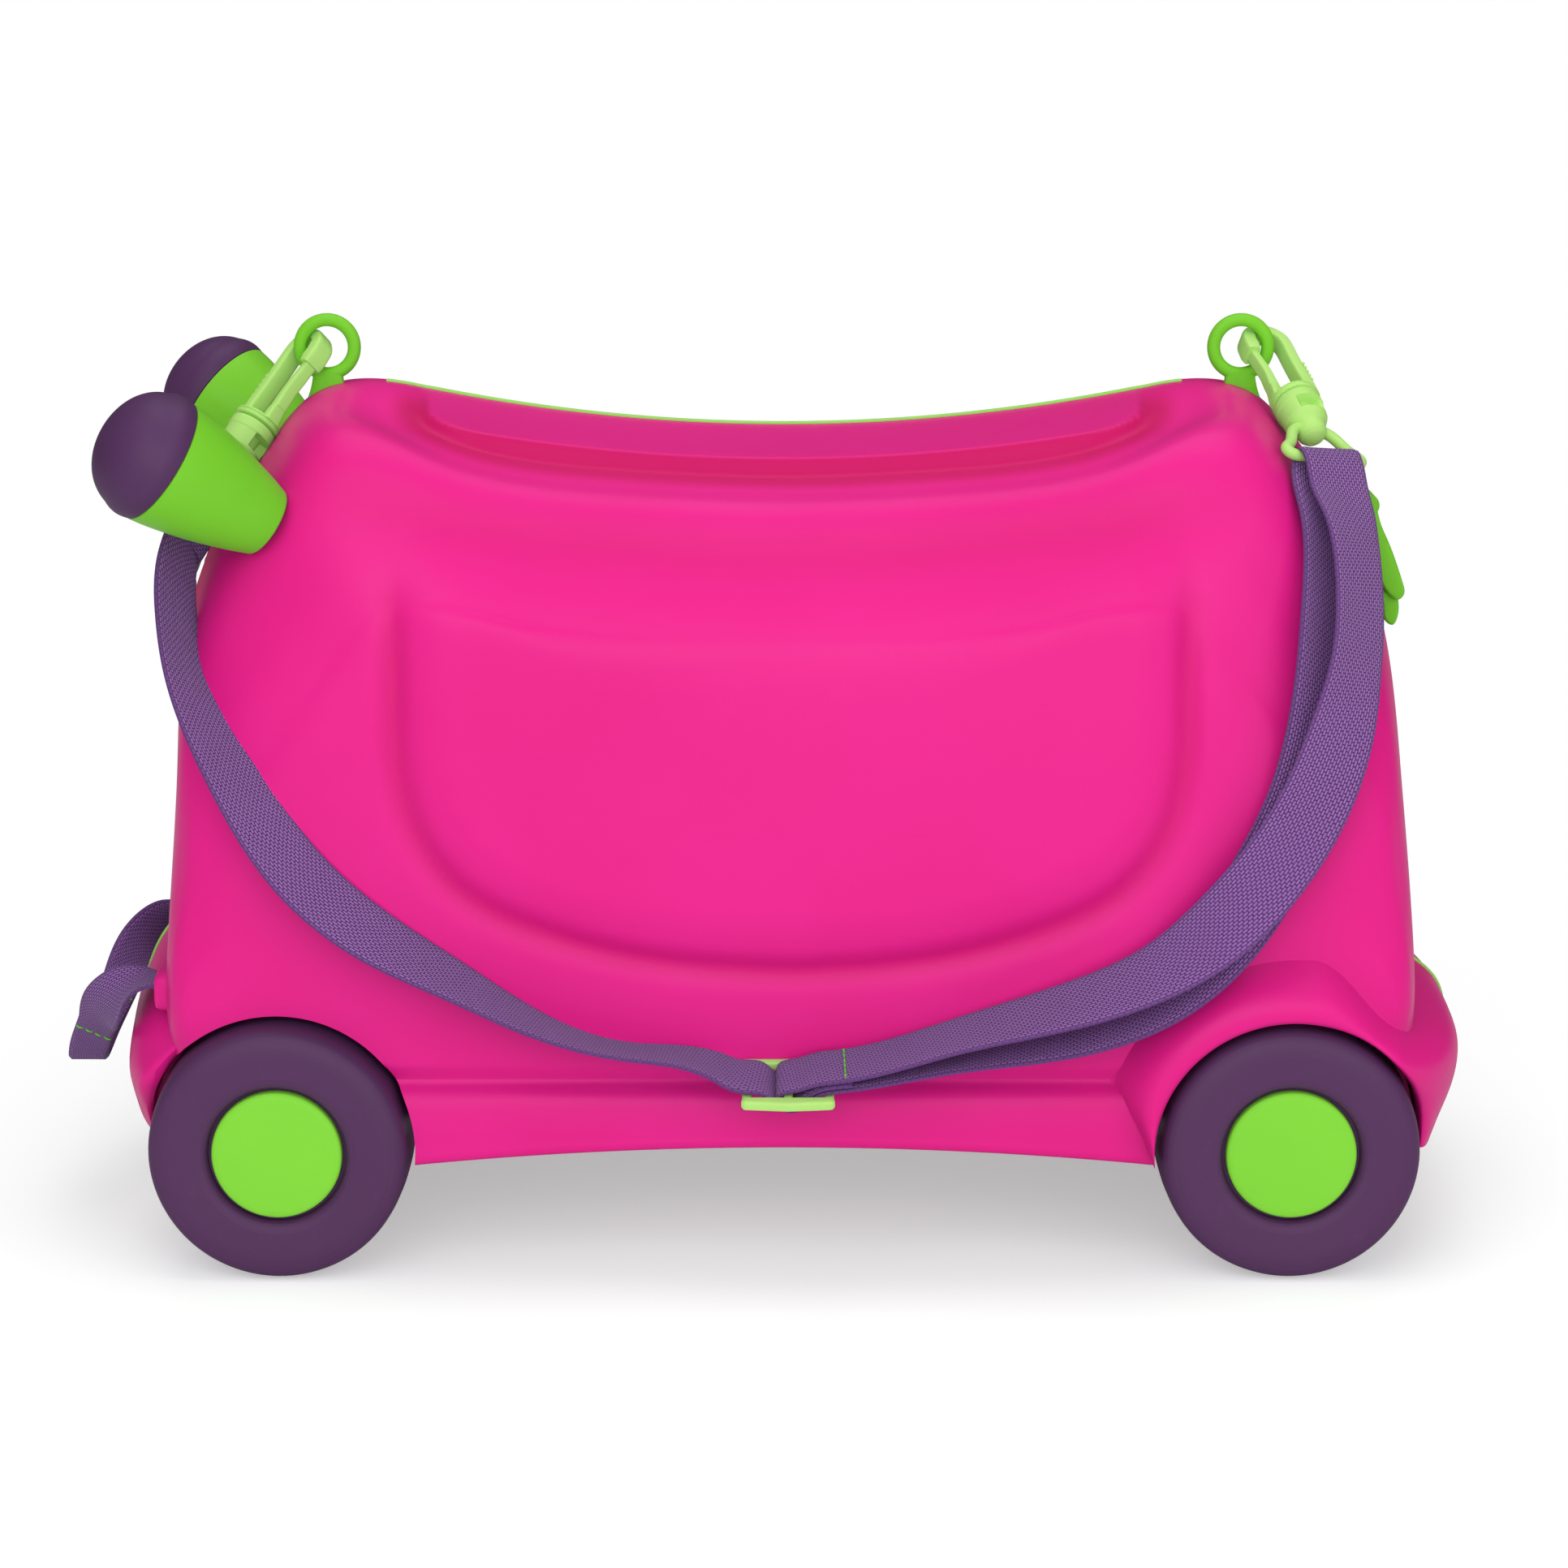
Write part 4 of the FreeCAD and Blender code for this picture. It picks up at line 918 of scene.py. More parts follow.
def rear_skirt():
    """Flared arch that runs into the rear bumper: at each angle round the axle a section from the arch's
    edge out, which changes from the fender's to the bumper's past the corner of the case."""
    outline = np.array(rear_outline[::-1], float)
    angles = np.linspace(outline[0, 0], outline[-1, 0], 170)
    radius = through(outline[:, 1:], angles, outline[:, 0])[:, 0]
    bumper = 1 - smooth((angles - 52) / 32)
    first = np.array(fender_section)
    second = np.array(bumper_section)
    knots = np.arange(len(first))
    places = np.linspace(0, knots[-1], 64)
    fender = through(first, places, knots)
    low_nose = through(second, places, knots)
    high_nose = through(np.array(keel_section), places, knots)
    nose = low_nose + (high_nose - low_nose) * smooth((angles - 22) / 22)[:, None, None]
    section = fender + (nose - fender) * bumper[:, None, None]
    reach = well_radius + (radius[:, None] - well_radius) * section[..., 0]
    turn = np.radians(angles)[:, None]
    tuck = 1 - 0.24 * (1 - smooth(angles / 48))[:, None]
    grid = np.stack([axle_x + reach * np.cos(turn), -section[..., 1] * tuck, axle_z + reach * np.sin(turn)], -1)
    grid[..., 2] = np.maximum(grid[..., 2], np.where(grid[..., 0] < axle_x, board_end_bottom + 1, 0))
    low = grid[0].copy()
    under = np.minimum(low[:, 0], bumper_root + 14)
    low[:, 0] = np.where(low[:, 1] < -well_back, low[:, 0], under)
    low[:, 2] += 1.5
    grid = np.concatenate([low[None], grid])
    keep = ~whole_cells(inward(grid) > skirt_overlap)
    edge = grid[:, -1]
    rim = np.stack([edge, edge * (0, 1, 1) + (bumper_root + bumper_depth, 0, 0)])
    shown = edge[:-1, 0] > bumper_root + bumper_depth
    return [grid, rim], [keep, shown]


# Front bumper: (share of its reach, share of its height) round the nose, and (share of the board's root, share
# of the corner round) from the seam outwards
nose_shares = ((0.0, 1.03), (0.3, 1.02), (0.56, 0.95), (0.78, 0.83), (0.92, 0.68), (0.985, 0.54), (1.0, 0.42),
               (0.995, 0.28), (0.975, 0.14), (0.94, 0.05), (0.88, 0.0), (0.6, 0.0), (0.0, 0.03))
nose_levels = ((0.0, 0.0), (0.12, 0.01), (0.3, 0.03), (0.5, 0.09), (0.7, 0.21), (0.85, 0.43), (1.0, 0.8))


def front_skirt():
    """Front bumper as a keel: its nose draws back from the seam outwards, less so towards its foot."""
    nose = through(nose_shares, 70)
    levels = np.array(nose_levels)
    places = np.linspace(0, 1, 48)
    back = through(levels[:, 1:], places, levels[:, 0])
    hold = 0.3 + 1.1 * smooth((nose[:, 1] - 0.3) / 0.6)
    reach = (front_reach - bumper_root) * (1 - back * hold)
    x = -bumper_root - reach * nose[:, 0]
    z = bumper_foot + (front_top - bumper_foot) * np.maximum(nose[:, 1], 0)
    tuck = 1 - 0.25 * (1 - smooth((z - bumper_foot) / 32)) - 0.2 * smooth((z - 80) / 28)
    y = np.minimum(-board_root * places[:, None] * tuck, -seam_gap / 2)
    grid = spread(x, y, z)
    last = grid[-1]
    distance = from_axle(last[:, 0], last[:, 2], -1)
    centre = np.array((-axle_x, 0.0, axle_z))
    lip = []
    for share, swell in ((0.2, 1.2), (0.45, 1.9), (0.75, 1.4), (1.0, 0.0), (1.0, -12.0)):
        shrink = 1 - share * np.maximum(distance - well_radius, 0) / distance
        row = centre + (last - centre) * shrink[:, None]
        row[:, 1] = last[:, 1] - swell
        lip.append(row)
    grid = np.concatenate([grid, np.stack(lip)])
    grid, open_cells = cut_wells(grid, well_radius - 0.2, well_back)
    keep = ~whole_cells(inward(grid) > skirt_overlap)
    edge = grid[0]
    rim = np.stack([edge, edge * (0, 1, 1) - (bumper_root + bumper_depth, 0, 0)])
    shown = edge[:-1, 0] < -bumper_root - bumper_depth
    return [grid, rim], [keep & open_cells, shown]


# Frame of the tow slot: half length, half height and distance from the case's middle, from outside in
mouth_profile = ((16.6, 7.4, 214), (16.2, 7.0, 220.4), (15.6, 6.4, 222.0), (14.8, 5.4, 222.4),
                 (13.9, 3.0, 222.0), (13.4, 2.0, 220.5), (13.3, 1.9, 212))


def tow_mouth_rim():
    """Moulded frame round the tow slot: a rounded rectangle whose rim swells out of the wall and turns back
    in."""
    profile = through(mouth_profile, 26)
    ring = rounded_section(1, 1, 5, 72)
    y = -tow_slot_place + ring[:, 0] * profile[:, :1]
    z = tow_slot_height + ring[:, 1] * profile[:, 1:2]
    return spread(-profile[:, 2:], y, z)


def hinge_knuckles(first):
    """Hinge eyes of one half along the bottom seam, with softened ends, and the webs up to the belly."""
    eyes = []
    pitch = hinge_length / hinge_count
    soft = 0.7
    for index in range(first, hinge_count, 2):
        low = -hinge_length / 2 + pitch * index + 0.2
        high = low + pitch - 0.4
        profile = [(low, knuckle_bore), (low, knuckle_radius - soft), (low + soft, knuckle_radius),
                   (high - soft, knuckle_radius), (high, knuckle_radius - soft), (high, knuckle_bore)]
        eyes.append(turned(profile, (0, 0, hinge_height), (1, 0, 0), 40))
        side = -1 if first == 0 else 1
        run = np.linspace(low + 0.3, high - 0.3, 6)
        path = np.stack([run, np.full(6, side * 2.7), np.full(6, 47.5)], -1)
        eyes.append(capped(swept(path, np.array([0.0, 1.0, 0.0]), rounded_section(2.2, 7.0, 6, 32))))
    return eyes


def make_case():
    skin, open_cells, painted_shade = case_skin()
    liner, liner_cells = case_liner()
    skirt, skirt_cells = rear_skirt()
    nose, nose_cells = front_skirt()
    inside = np.array((0.0, -40.0, 165.0))
    for side, body, half in ((1, "case", "left"), (-1, "lid", "right")):
        flip = np.array((1.0, side, 1.0))

        def part(name, grids, keeps=None, inner=None, sharp=40, painted_shades=None):
            held = None if inner is None else inner * flip
            grids = [grid * flip for grid in grids]
            return make_piece(f"{half}_{name}", grids, body, pink, sharp, held, None, keeps, painted_shades)

        # The skin carries the marks of painted shade in its creases.
        shell = part("shell_skin", [skin], [open_cells], inside, 32, painted_shade)
        lining = part("shell_lining", [liner], [liner_cells], inside, 50)
        lining.data.flip_normals()
        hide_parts(f"{half}_shell")
        part("running_board", [running_board()], None, inside, 50)
        part("rear_skirt", skirt, skirt_cells, np.array((axle_x, -50.0, axle_z)), 40)
        part("front_skirt", nose, nose_cells, np.array((-190.0, -20.0, 80.0)), 40)
        part("tow_mouth", [tow_mouth_rim()], None, None, 50)
        part("hinge_knuckles", [grid * flip for grid in hinge_knuckles(0 if side > 0 else 1)])
        for end, place in ((-1, "front"), (1, "rear")):
            arch = part(f"{place}_arch", well_lining(end), None, np.array((end * axle_x, -75.0, axle_z)), 50)
            arch.data.flip_normals()
            drum, drum_cells = well_drum(end)
            part(f"{place}_arch_back", drum, drum_cells, np.array((end * axle_x, -75.0, axle_z)), 50)
            part(f"{place}_axle_boss", [axle_boss(end)])


# Wheels

tyre_profile = ((65, 8.5), (65, 39.5), (65.5, 42.4), (67.2, 44.7), (69.6, 45.8), (73, 46), (85, 46), (95, 45.6),
                (99.6, 45.2), (101.6, 44.6), (103.1, 43.5), (104.2, 41.8), (104.8, 39.6), (105, 36.5),
                (104.9, 30.5), (104.8, 28.2), (104.3, 26.2), (103.2, 25.0), (101.6, 24.3), (99.5, 24.1),
                (99.2, 22), (99.2, 9))
cap_profile = ((99.5, 0), (99.5, 22.9), (101.6, 22.9), (102.6, 22.6), (103.2, 21.9), (103.5, 20.6), (103.8, 16),
               (104.1, 8), (104.2, 0))


def fine(profile, count):
    """Profile drawn finer with straight steps."""
    profile = np.array(profile, float)
    steps = chord_lengths(profile)
    places = np.unique(np.concatenate([steps, np.linspace(0, steps[-1], count)]))
    return np.stack([np.interp(places, steps, profile[:, index]) for index in (0, 1)], -1)


def make_wheels():
    for end in ("front", "rear"):
        for side, half in ((-1, "left"), (1, "right")):
            low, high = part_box(f"{end}_{half}_tyre")
            centre = (np.array(low) + np.array(high)) / 2 / MM
            base = (centre[0], 0, centre[2])
            body = f"{end}_{half}_wheel"
            tyre_grid = turned(fine(tyre_profile, 60), base, (0, side, 0), 128)
            cap_grid = turned(fine(cap_profile, 30), base, (0, side, 0), 96)
            tyre = make_piece(f"{end}_{half}_tyre_form", [tyre_grid], body, purple, 30)
            cap = make_piece(f"{end}_{half}_cap_form", [cap_grid], body, hub_green, 30)
            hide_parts(f"{end}_{half}_tyre")
            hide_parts(f"{end}_{half}_hub_cap")


# Grips

horn_shares = ((0.0, 0.0), (0.12, 0.18), (0.25, 0.35), (0.5, 0.64), (0.75, 0.86), (0.92, 0.97), (1.0, 1.0))


def make_grips():
    """Each horn is turned from a slightly swollen taper; its tip follows a cubed superellipse."""
    foot = np.array(grip_foot)
    joint = np.array(grip_joint)
    axis = joint - foot
    length = np.linalg.norm(axis)
    growth = grip_joint_radius - grip_foot_radius
    shares = np.array(horn_shares)
    along = np.linspace(0, 1, 40)
    radius = grip_foot_radius + growth * through(shares[:, 1:], along, shares[:, 0])[:, 0]
    horn = [(-grip_root_length, 0), (-grip_root_length, grip_root_radius), (-1.0, grip_root_radius),
            (-1.0, grip_foot_radius - 1.6), (-0.8, grip_foot_radius - 0.7), (-0.4, grip_foot_radius - 0.2)]
    horn += list(zip(along * length, radius))
    horn += [(length + 0.2, grip_joint_radius - 0.5), (length - 0.4, grip_joint_radius - 1.6)]
    share = np.sin(np.linspace(0, np.pi / 2, 44))
    swell = 1 + 0.03 * np.sin(np.pi * np.clip(share / 0.4, 0, 1))
    dome = grip_joint_radius * swell * np.sqrt(np.maximum(1 - share ** 2.6, 0))
    tip = [(length - 0.4, 0), (length - 0.4, grip_joint_radius - 1.6),
           (length + 0.25, grip_joint_radius - 0.45)]
    tip += list(zip(length + 0.5 + share * (grip_tip_length - 0.5), dome))
    for side, body, half in ((1, "case", "left"), (-1, "lid", "right")):
        flip = np.array((1.0, side, 1.0))
        horn_piece = make_piece(f"{half}_grip_horn", [turned(horn, foot, axis, 96) * flip], body, green, 45)
        tip_piece = make_piece(f"{half}_grip_end", [turned(tip, foot, axis, 96) * flip], body, tip_purple, 45)
        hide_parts(f"{half}_grip")
        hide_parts(f"{half}_grip_tip")


# Strap rings

stem_shares = ((0.0, 5.2), (0.2, 5.6), (0.42, 6.6), (0.62, 8.0), (0.8, 9.6), (1.0, 11.2))


def make_rings():
    """Round eye, and a flat stem that flares down to the seam along a curve."""
    turn = full_turn(96)
    for end, name in ((-1, "front"), (1, "rear")):
        centre = np.array((end * ring_place, 0, ring_height))
        path = centre + ring_radius * np.stack([np.cos(turn), 0 * turn, np.sin(turn)], -1)
        out = unit(path - centre)
        section = rounded_section(ring_wire, ring_wire, 2.3, 28)
        eye = path[:, None] + out[:, None] * section[:, :1] + np.array((0, 1, 0)) * section[:, 1:]
        shares = np.array(stem_shares)
        places = np.linspace(0, 1, 30)
        half = through(shares[:, 1:], places, shares[:, 0])
        top = ring_height - ring_radius + 1.2
        z = top - places * 18
        section = rounded_section(1, 1, 4.5, 48)
        stem = spread(centre[0] + half * section[:, 0], section[:, 1] * ring_wire, z[:, None])
        ring = make_piece(f"{name}_strap_ring", [eye, capped(stem)], "case", green, 50)
        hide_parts(f"{name}_ring")


# Snap hooks: direction down to the webbing, side of the gate and direction of the eye's bar

clip_places = {
    "front": (-1, -25, (-0.5, -0.5, -0.707), (0.664, -0.747, 0.053), (-0.5, -0.85, 0.1)),
    "rear": (1, -8, (0.243, -0.827, -0.505), (-0.824, -0.286, 0.072), (0.8, 0.5, -0.1)),
}


class ClipPlace:
    """Collar's place and axes of one snap hook: across the opening, through it, and up towards the ring."""

    def __init__(self, name):
        end, angle, down, across, eye_across = clip_places[name]
        down = unit(down)
        turn = math.radians(angle)
        contact = np.array((end * (ring_place + ring_radius * math.cos(turn)), 0,
                            ring_height + ring_radius * math.sin(turn)))
        self.origin = contact + down * (hook_length - hook_half_width - hook_slack)
        self.hook = self.axes(-down, across)
        self.eye = self.axes(-down, eye_across)
        self.bar = self.at(self.eye, np.array((0.0, 0.0, -swivel_gap - barrel_length - eye_depth)))

    def axes(self, up, across):
        side = unit(np.cross(up, across))
        return np.stack([np.cross(side, up), side, up])

    def at(self, axes, local):
        return self.origin + local @ axes


def bent_bar(points, sections, squareness, count):
    """Bar through points in the hook's plane: a rounded section of changing (half width, half depth)."""
    points = np.array(points, float)
    knots = chord_lengths(points)
    places = np.linspace(0, knots[-1], count)
    flat = through(points, places, knots)
    sizes = np.stack([np.interp(places, knots, [size[index] for size in sections]) for index in (0, 1)], -1)
    path = np.stack([flat[:, 0], 0 * places, flat[:, 1]], -1)
    section = rounded_section(1, 1, squareness, 36)[None] * sizes[:, None, ::-1]
    return capped(swept(path, np.array((0.0, 1.0, 0.0)), section))


def hook_grids():
    """Hook: a flat bar from the collar up its back, over the ring and down to a hooded nose, thumb ridges
    on the back, and a collar of two discs with a groove between them."""
    arm = (hook_half_width + hook_opening) / 2
    half = hook_bar / 2
    centre = hook_length - hook_half_width
    deep = hook_depth / 2
    turn = np.radians(np.linspace(180, 0, 9))
    points = [(-arm + 0.6, collar_thickness - 0.6), (-arm, 6.0), (-arm, 13.0), (-arm, centre - 4)]
    points += [(arm * math.cos(angle), centre + arm * math.sin(angle)) for angle in turn]
    points += [(arm + 0.1, centre - 3.0), (arm + 0.1, centre - 5.6)]
    sections = [(half + 0.4, deep + 0.6), (half + 0.1, deep + 0.2), (half, deep), (half, deep)]
    sections += [(half, deep)] * 5 + [(half + 0.2, deep + 0.2)] * 2 + [(half + 0.5, deep + 0.6)] * 2
    sections += [(half + 0.6, deep + 0.7), (half + 0.2, deep + 0.4)]
    grids = [bent_bar(points, sections, 5.5, 90)]
    post = [(arm - 0.4, 2.0), (arm - 0.5, 4.0), (arm - 0.8, 7.0), (arm - 0.9, 10.0)]
    grids.append(bent_bar(post, [(2.3, 3.3), (2.0, 3.1), (1.8, 2.9), (1.6, 2.4)], 5.0, 24))
    for step in range(5):
        height = 11.5 + 2.3 * step
        run = np.linspace(-deep + 0.5, deep - 0.5, 8)
        path = np.stack([np.full(8, -arm - half), run, np.full(8, height)], -1)
        grids.append(capped(swept(path, np.array((0.0, 0.0, 1.0)), rounded_section(0.65, 0.75, 2.4, 20))))
    profile = [(-swivel_gap, 0), (0, collar_radius - 0.9), (0.35, collar_radius - 0.2), (1.0, collar_radius),
               (1.5, collar_radius), (1.75, collar_radius - 0.5), (2.0, collar_radius - 0.05),
               (2.5, collar_radius - 0.15), (2.9, collar_radius - 0.7), (3.05, collar_radius - 1.8), (3.1, 0)]
    grids.append(turned(profile, (0, 0, 0), (0, 0, 1), 72))
    return grids


def gate_grids():
    """Sprung bar that closes the mouth: slightly bowed, with a rounded foot, tucked under the nose."""
    arm = (hook_half_width + hook_opening) / 2
    top = hook_length - hook_half_width - 4.6
    points = [(arm - 0.9, 8.4), (arm - 0.9, 11.0), (arm - 1.1, 16.0), (arm - 0.6, 22.0), (arm, top)]
    sections = [(1.9, 2.6), (1.75, 2.7), (1.6, 2.6), (1.5, 2.6), (1.5, 2.4)]
    return [bent_bar(points, sections, 5.0, 44)]


def barrel_grid():
    """Swivel barrel turned about the hook's line with two windows sunk in its sides, and a ball under
    it."""
    profile = [(-0.5, 0), (-0.5, 7.7), (-0.9, 8.4), (-1.6, 8.6), (-4.4, 8.6), (-5.0, 8.3), (-10.0, 7.9),
               (-11.0, 7.8), (-12.2, 7.2), (-13.2, 6.3), (-14.2, 5.7), (-15.6, 5.6), (-17.2, 5.3),
               (-18.6, 4.5), (-19.7, 3.2), (-20.3, 1.6), (-20.5, 0)]
    profile = fine(profile, 130)
    turn = full_turn(144)
    height = profile[:, :1]
    rim = smooth((-height - 4.6) / 0.5) * smooth((height + 10.4) / 0.5)
    facing = np.minimum(np.abs(np.sin(turn / 2 - np.pi / 4)), np.abs(np.cos(turn / 2 - np.pi / 4)))
    side = 1 - smooth((facing - 0.29) / 0.05)
    radius = profile[:, 1:] * (1 - 0.42 * rim * side)
    return spread(radius * np.cos(turn), radius * np.sin(turn), height)


def eye_grid():
    """Wire loop for the webbing: a round wire along a rounded trapezium that starts and ends in the
    barrel."""
    half = webbing_width / 2 + eye_slack + eye_wire * 0.7
    bar = -swivel_gap - barrel_length - eye_depth
    left = [(-3.5, -14.6), (-6.6, -16.0), (-half + 2.4, bar + 5.6), (-half + 0.2, bar + 2.4),
            (-half + 2.2, bar), (-half + 6, bar)]
    points = left + [(0, bar)] + [(-across, height) for across, height in left[::-1]]
    return bent_bar(points, [(eye_wire * 0.92, eye_wire * 0.92)] * len(points), 2.0, 110)


def make_clips():
    for name in clip_places:
        place = ClipPlace(name)
        for part, axes, grids, body, node in (
            ("snap_hook", place.hook, hook_grids(), f"{name}_snap", "hook"),
            ("snap_gate", place.hook, gate_grids(), f"{name}_gate_bar", "gate"),
            ("swivel_eye", place.eye, [barrel_grid(), eye_grid()], "case", "eye"),
        ):
            grids = [place.at(axes, grid) for grid in grids]
            piece = make_piece(f"{name}_{part}", grids, body, clip_green)
            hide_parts(f"{name}_{node}")


# Strap: routes as shares of the half length, half width and seat height, as the webbing hangs

strap_front_shares = ((-0.948, -0.46, 0.902), (-0.963, -0.64, 0.852), (-0.955, -0.79, 0.784),
                      (-0.918, -0.97, 0.707), (-0.850, -1.10, 0.614), (-0.764, -1.145, 0.517),
                      (-0.650, -1.165, 0.440), (-0.518, -1.17, 0.381), (-0.398, -1.18, 0.331),
                      (-0.250, -1.185, 0.295), (-0.105, -1.187, 0.276))
strap_near_run = ((58.0, -110.5, 91.0), (101.6, -112.0, 103.8), (128.8, -111.5, 114.9), (161.5, -110.0, 142.6),
                  (181.7, -108.0, 174.3), (190.1, -106.0, 198.5), (195.2, -100.0, 221.6), (197.0, -90.5, 238.7),
                  (194.8, -75.0, 266.0), (192.2, -63.0, 276.5))
strap_behind = ((1.0, 5.0, -8.0), (3.0, 6.0, -11.5), (5.0, 6.0, -9.0), (1.0, 7.0, -2.0), (-3.0, 8.0, 0.0),
                (-6.5, 8.0, 1.0), (-10.5, 8.0, 1.0), (-10.5, 8.0, 1.0), (-7.5, 8.0, 0.0), (-5.0, 6.0, 0.0))
strap_middle_share = (0.0064, -1.205, 0.266)
front_widths = ((-0.36, -0.88, 0.3), (-0.38, -0.88, 0.28), (-0.42, -0.87, 0.2), (-0.49, -0.86, 0.05),
                (-0.57, -0.81, -0.126), (-0.57, -0.77, -0.3), (-0.42, -0.83, -0.38), (-0.19, -0.95, -0.25),
                (-0.09, -0.99, -0.075), (-0.034, -1.0, 0.04), (-0.033, -0.99, -0.115))
rear_widths = ((0.05, -0.97, -0.2), (0.16, -0.9, -0.38), (0.26, -0.8, -0.52), (0.58, -0.25, -0.73),
               (0.8, 0.05, -0.58), (0.84, 0.3, -0.42), (0.74, 0.58, -0.3), (0.72, 0.62, -0.28),
               (0.75, 0.58, -0.2), (0.8, 0.5, -0.1))
glide_width = (0.0, -0.984, -0.18)
wrap_radius = eye_wire + webbing_thickness / 2 + 0.15
# Route through the adjuster: (along the case, above the frame's middle) for the long run and for the sewn end
glide_under = ((-16.0, 2.9), (-9.0, 1.9), (-4.4, -2.2), (0.6, -4.5), (5.4, -2.9), (10.0, 1.2), (16.0, 2.7))
glide_over = ((17.0, 6.6), (9.0, 5.3), (3.4, 3.4), (-0.6, 2.6), (-2.9, 1.4), (-3.3, -0.5), (-1.6, -2.2),
              (1.6, -2.1), (5.6, 0.2), (10.6, 3.2), (17.0, 4.7), (22.0, 5.1))


def share_points(shares):
    return np.array(shares) * (half_length, half_width, seat_height)


class Glide:
    """Middle and axes of the length adjuster, which lies under the strap's middle."""

    middle = share_points(strap_middle_share)
    across = unit(glide_width)
    up = -np.cross((1.0, 0.0, 0.0), across)
    centre = middle - up * (webbing_thickness / 2 + 0.45 + glide_thickness / 2)

    def at(self, pairs):
        pairs = np.array(pairs)
        return self.centre + pairs[:, :1] * np.array((1.0, 0.0, 0.0)) + pairs[:, 1:] * self.up


def round_bar(bar, along, axis, sense, count):
    """Half turn of the webbing round a bar, from one side to the other."""
    normal = np.cross(unit(along), unit(axis)) * sense
    turn = np.linspace(0, np.pi, count)[:, None]
    return bar + wrap_radius * (-np.cos(turn) * normal + np.sin(turn) * unit(along))


def strap_route():
    """Whole webbing as one path with its width directions: a sewn end round the front bar, the long run
    down and through the adjuster, round the rear bar, and back to the adjuster's middle bar."""
    glide = Glide()
    front_clip = ClipPlace("front")
    rear_clip = ClipPlace("rear")
    front = share_points(strap_front_shares)
    front_bar_width = clip_places["front"][-1]
    rear_bar_width = clip_places["rear"][-1]
    bar_out = front_clip.bar - front[0]
    turn_front = round_bar(front_clip.bar, bar_out, front_bar_width, -1, 7)
    normal = np.cross(unit(bar_out), unit(front_bar_width))
    back = unit(bar_out) * np.array([[22.0], [14.0], [7.0]])
    stub = front_clip.bar - back + normal * np.array([[1.6], [2.2], [2.9]])
    near = np.array(strap_near_run)
    behind = near + np.array(strap_behind)
    turn_rear = round_bar(rear_clip.bar, rear_clip.bar - near[-1], rear_bar_width, -1, 7)
    under = glide.at(glide_under)
    over = glide.at(glide_over)
    path = np.concatenate([stub, turn_front, front, under, behind, turn_rear, near[::-1], over])
    widths = np.concatenate([
        np.tile(front_bar_width, (len(stub) + len(turn_front), 1)), front_widths,
        np.tile(glide_width, (len(under), 1)), rear_widths,
        np.tile(rear_bar_width, (len(turn_rear), 1)), rear_widths[::-1],
        np.tile(glide_width, (len(over), 1)),
    ])
    return path, widths


def ribbon(path, widths, breadths, thicknesses, count):
    """Webbing as a thin closed band: a section with rounded edges carried along a smooth path, with a map
    that runs across and along it in metres."""
    knots = chord_lengths(path)
    places = np.linspace(0, knots[-1], count)
    line = through(path, places, knots)
    sides = through(unit(widths), places, knots)
    breadth = np.interp(places, knots, breadths)
    thickness = np.interp(places, knots, thicknesses)
    across = np.concatenate([np.linspace(-1, 1, 15), np.linspace(1, -1, 15), [-1.0]])
    rise = np.concatenate([np.ones(15), -np.ones(15), [1.0]])
    round_edge = np.where(np.abs(across) > 0.99, 0.45, 1.0)
    section = np.stack([across * breadth[:, None] / 2, rise * round_edge * thickness[:, None] / 2], -1)
    grid = swept(line, sides, section)
    length = chord_lengths(line)
    map_across = np.broadcast_to(across * webbing_width / 2, grid.shape[:2])
    uv = spread(map_across, length[:, None]) * MM
    return grid, uv, line, sides, length


def stitches(line, sides, index, breadth, lift, count):
    """Row of short thread bars across the webbing at one place of its line, lifted to its face."""
    along = unit(line[index + 1] - line[index - 1])
    flat = unit(sides[index] - along * np.dot(sides[index], along))
    normal = np.cross(along, flat)
    grids = []
    pitch = breadth / count
    for step in range(count):
        middle = (step + 0.5) * pitch - breadth / 2
        run = np.linspace(-0.36, 0.36, 9)
        arch = np.cos(run / 0.36 * np.pi / 2) * 0.3
        path = line[index] + flat * (middle + run * pitch)[:, None]
        path = path + normal * (lift + np.sign(lift) * arch)[:, None]
        size = stitch_radius * np.sqrt(1 - (run / 0.4) ** 2)
        section = rounded_section(1, 1, 2, 12)[None] * size[:, None, None]
        grids.append(capped(swept(path, along, section)))
    return grids


def make_strap():
    path, widths = strap_route()
    size = np.full(len(path), webbing_width)
    thick = np.full(len(path), webbing_thickness)
    grid, uv, line, sides, length = ribbon(path, widths, size, thick, 900)
    strap = make_piece("shoulder_strap", [capped(grid)], "case", webbing, 60, None, [with_ends(uv)])
    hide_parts("strap")
    sewn = int(np.argmin(np.abs(length - (length[-1] - 53))))
    rows = stitches(line, sides, sewn, webbing_width - 2, 1.0, 6)
    front_sewn = int(np.argmin(np.abs(length - 40)))
    rows += stitches(line, sides, front_sewn, webbing_width - 2, 1.0, 6)
    stitching = make_piece("strap_stitching", rows, "case", thread, 60)
    length[-1] * MM


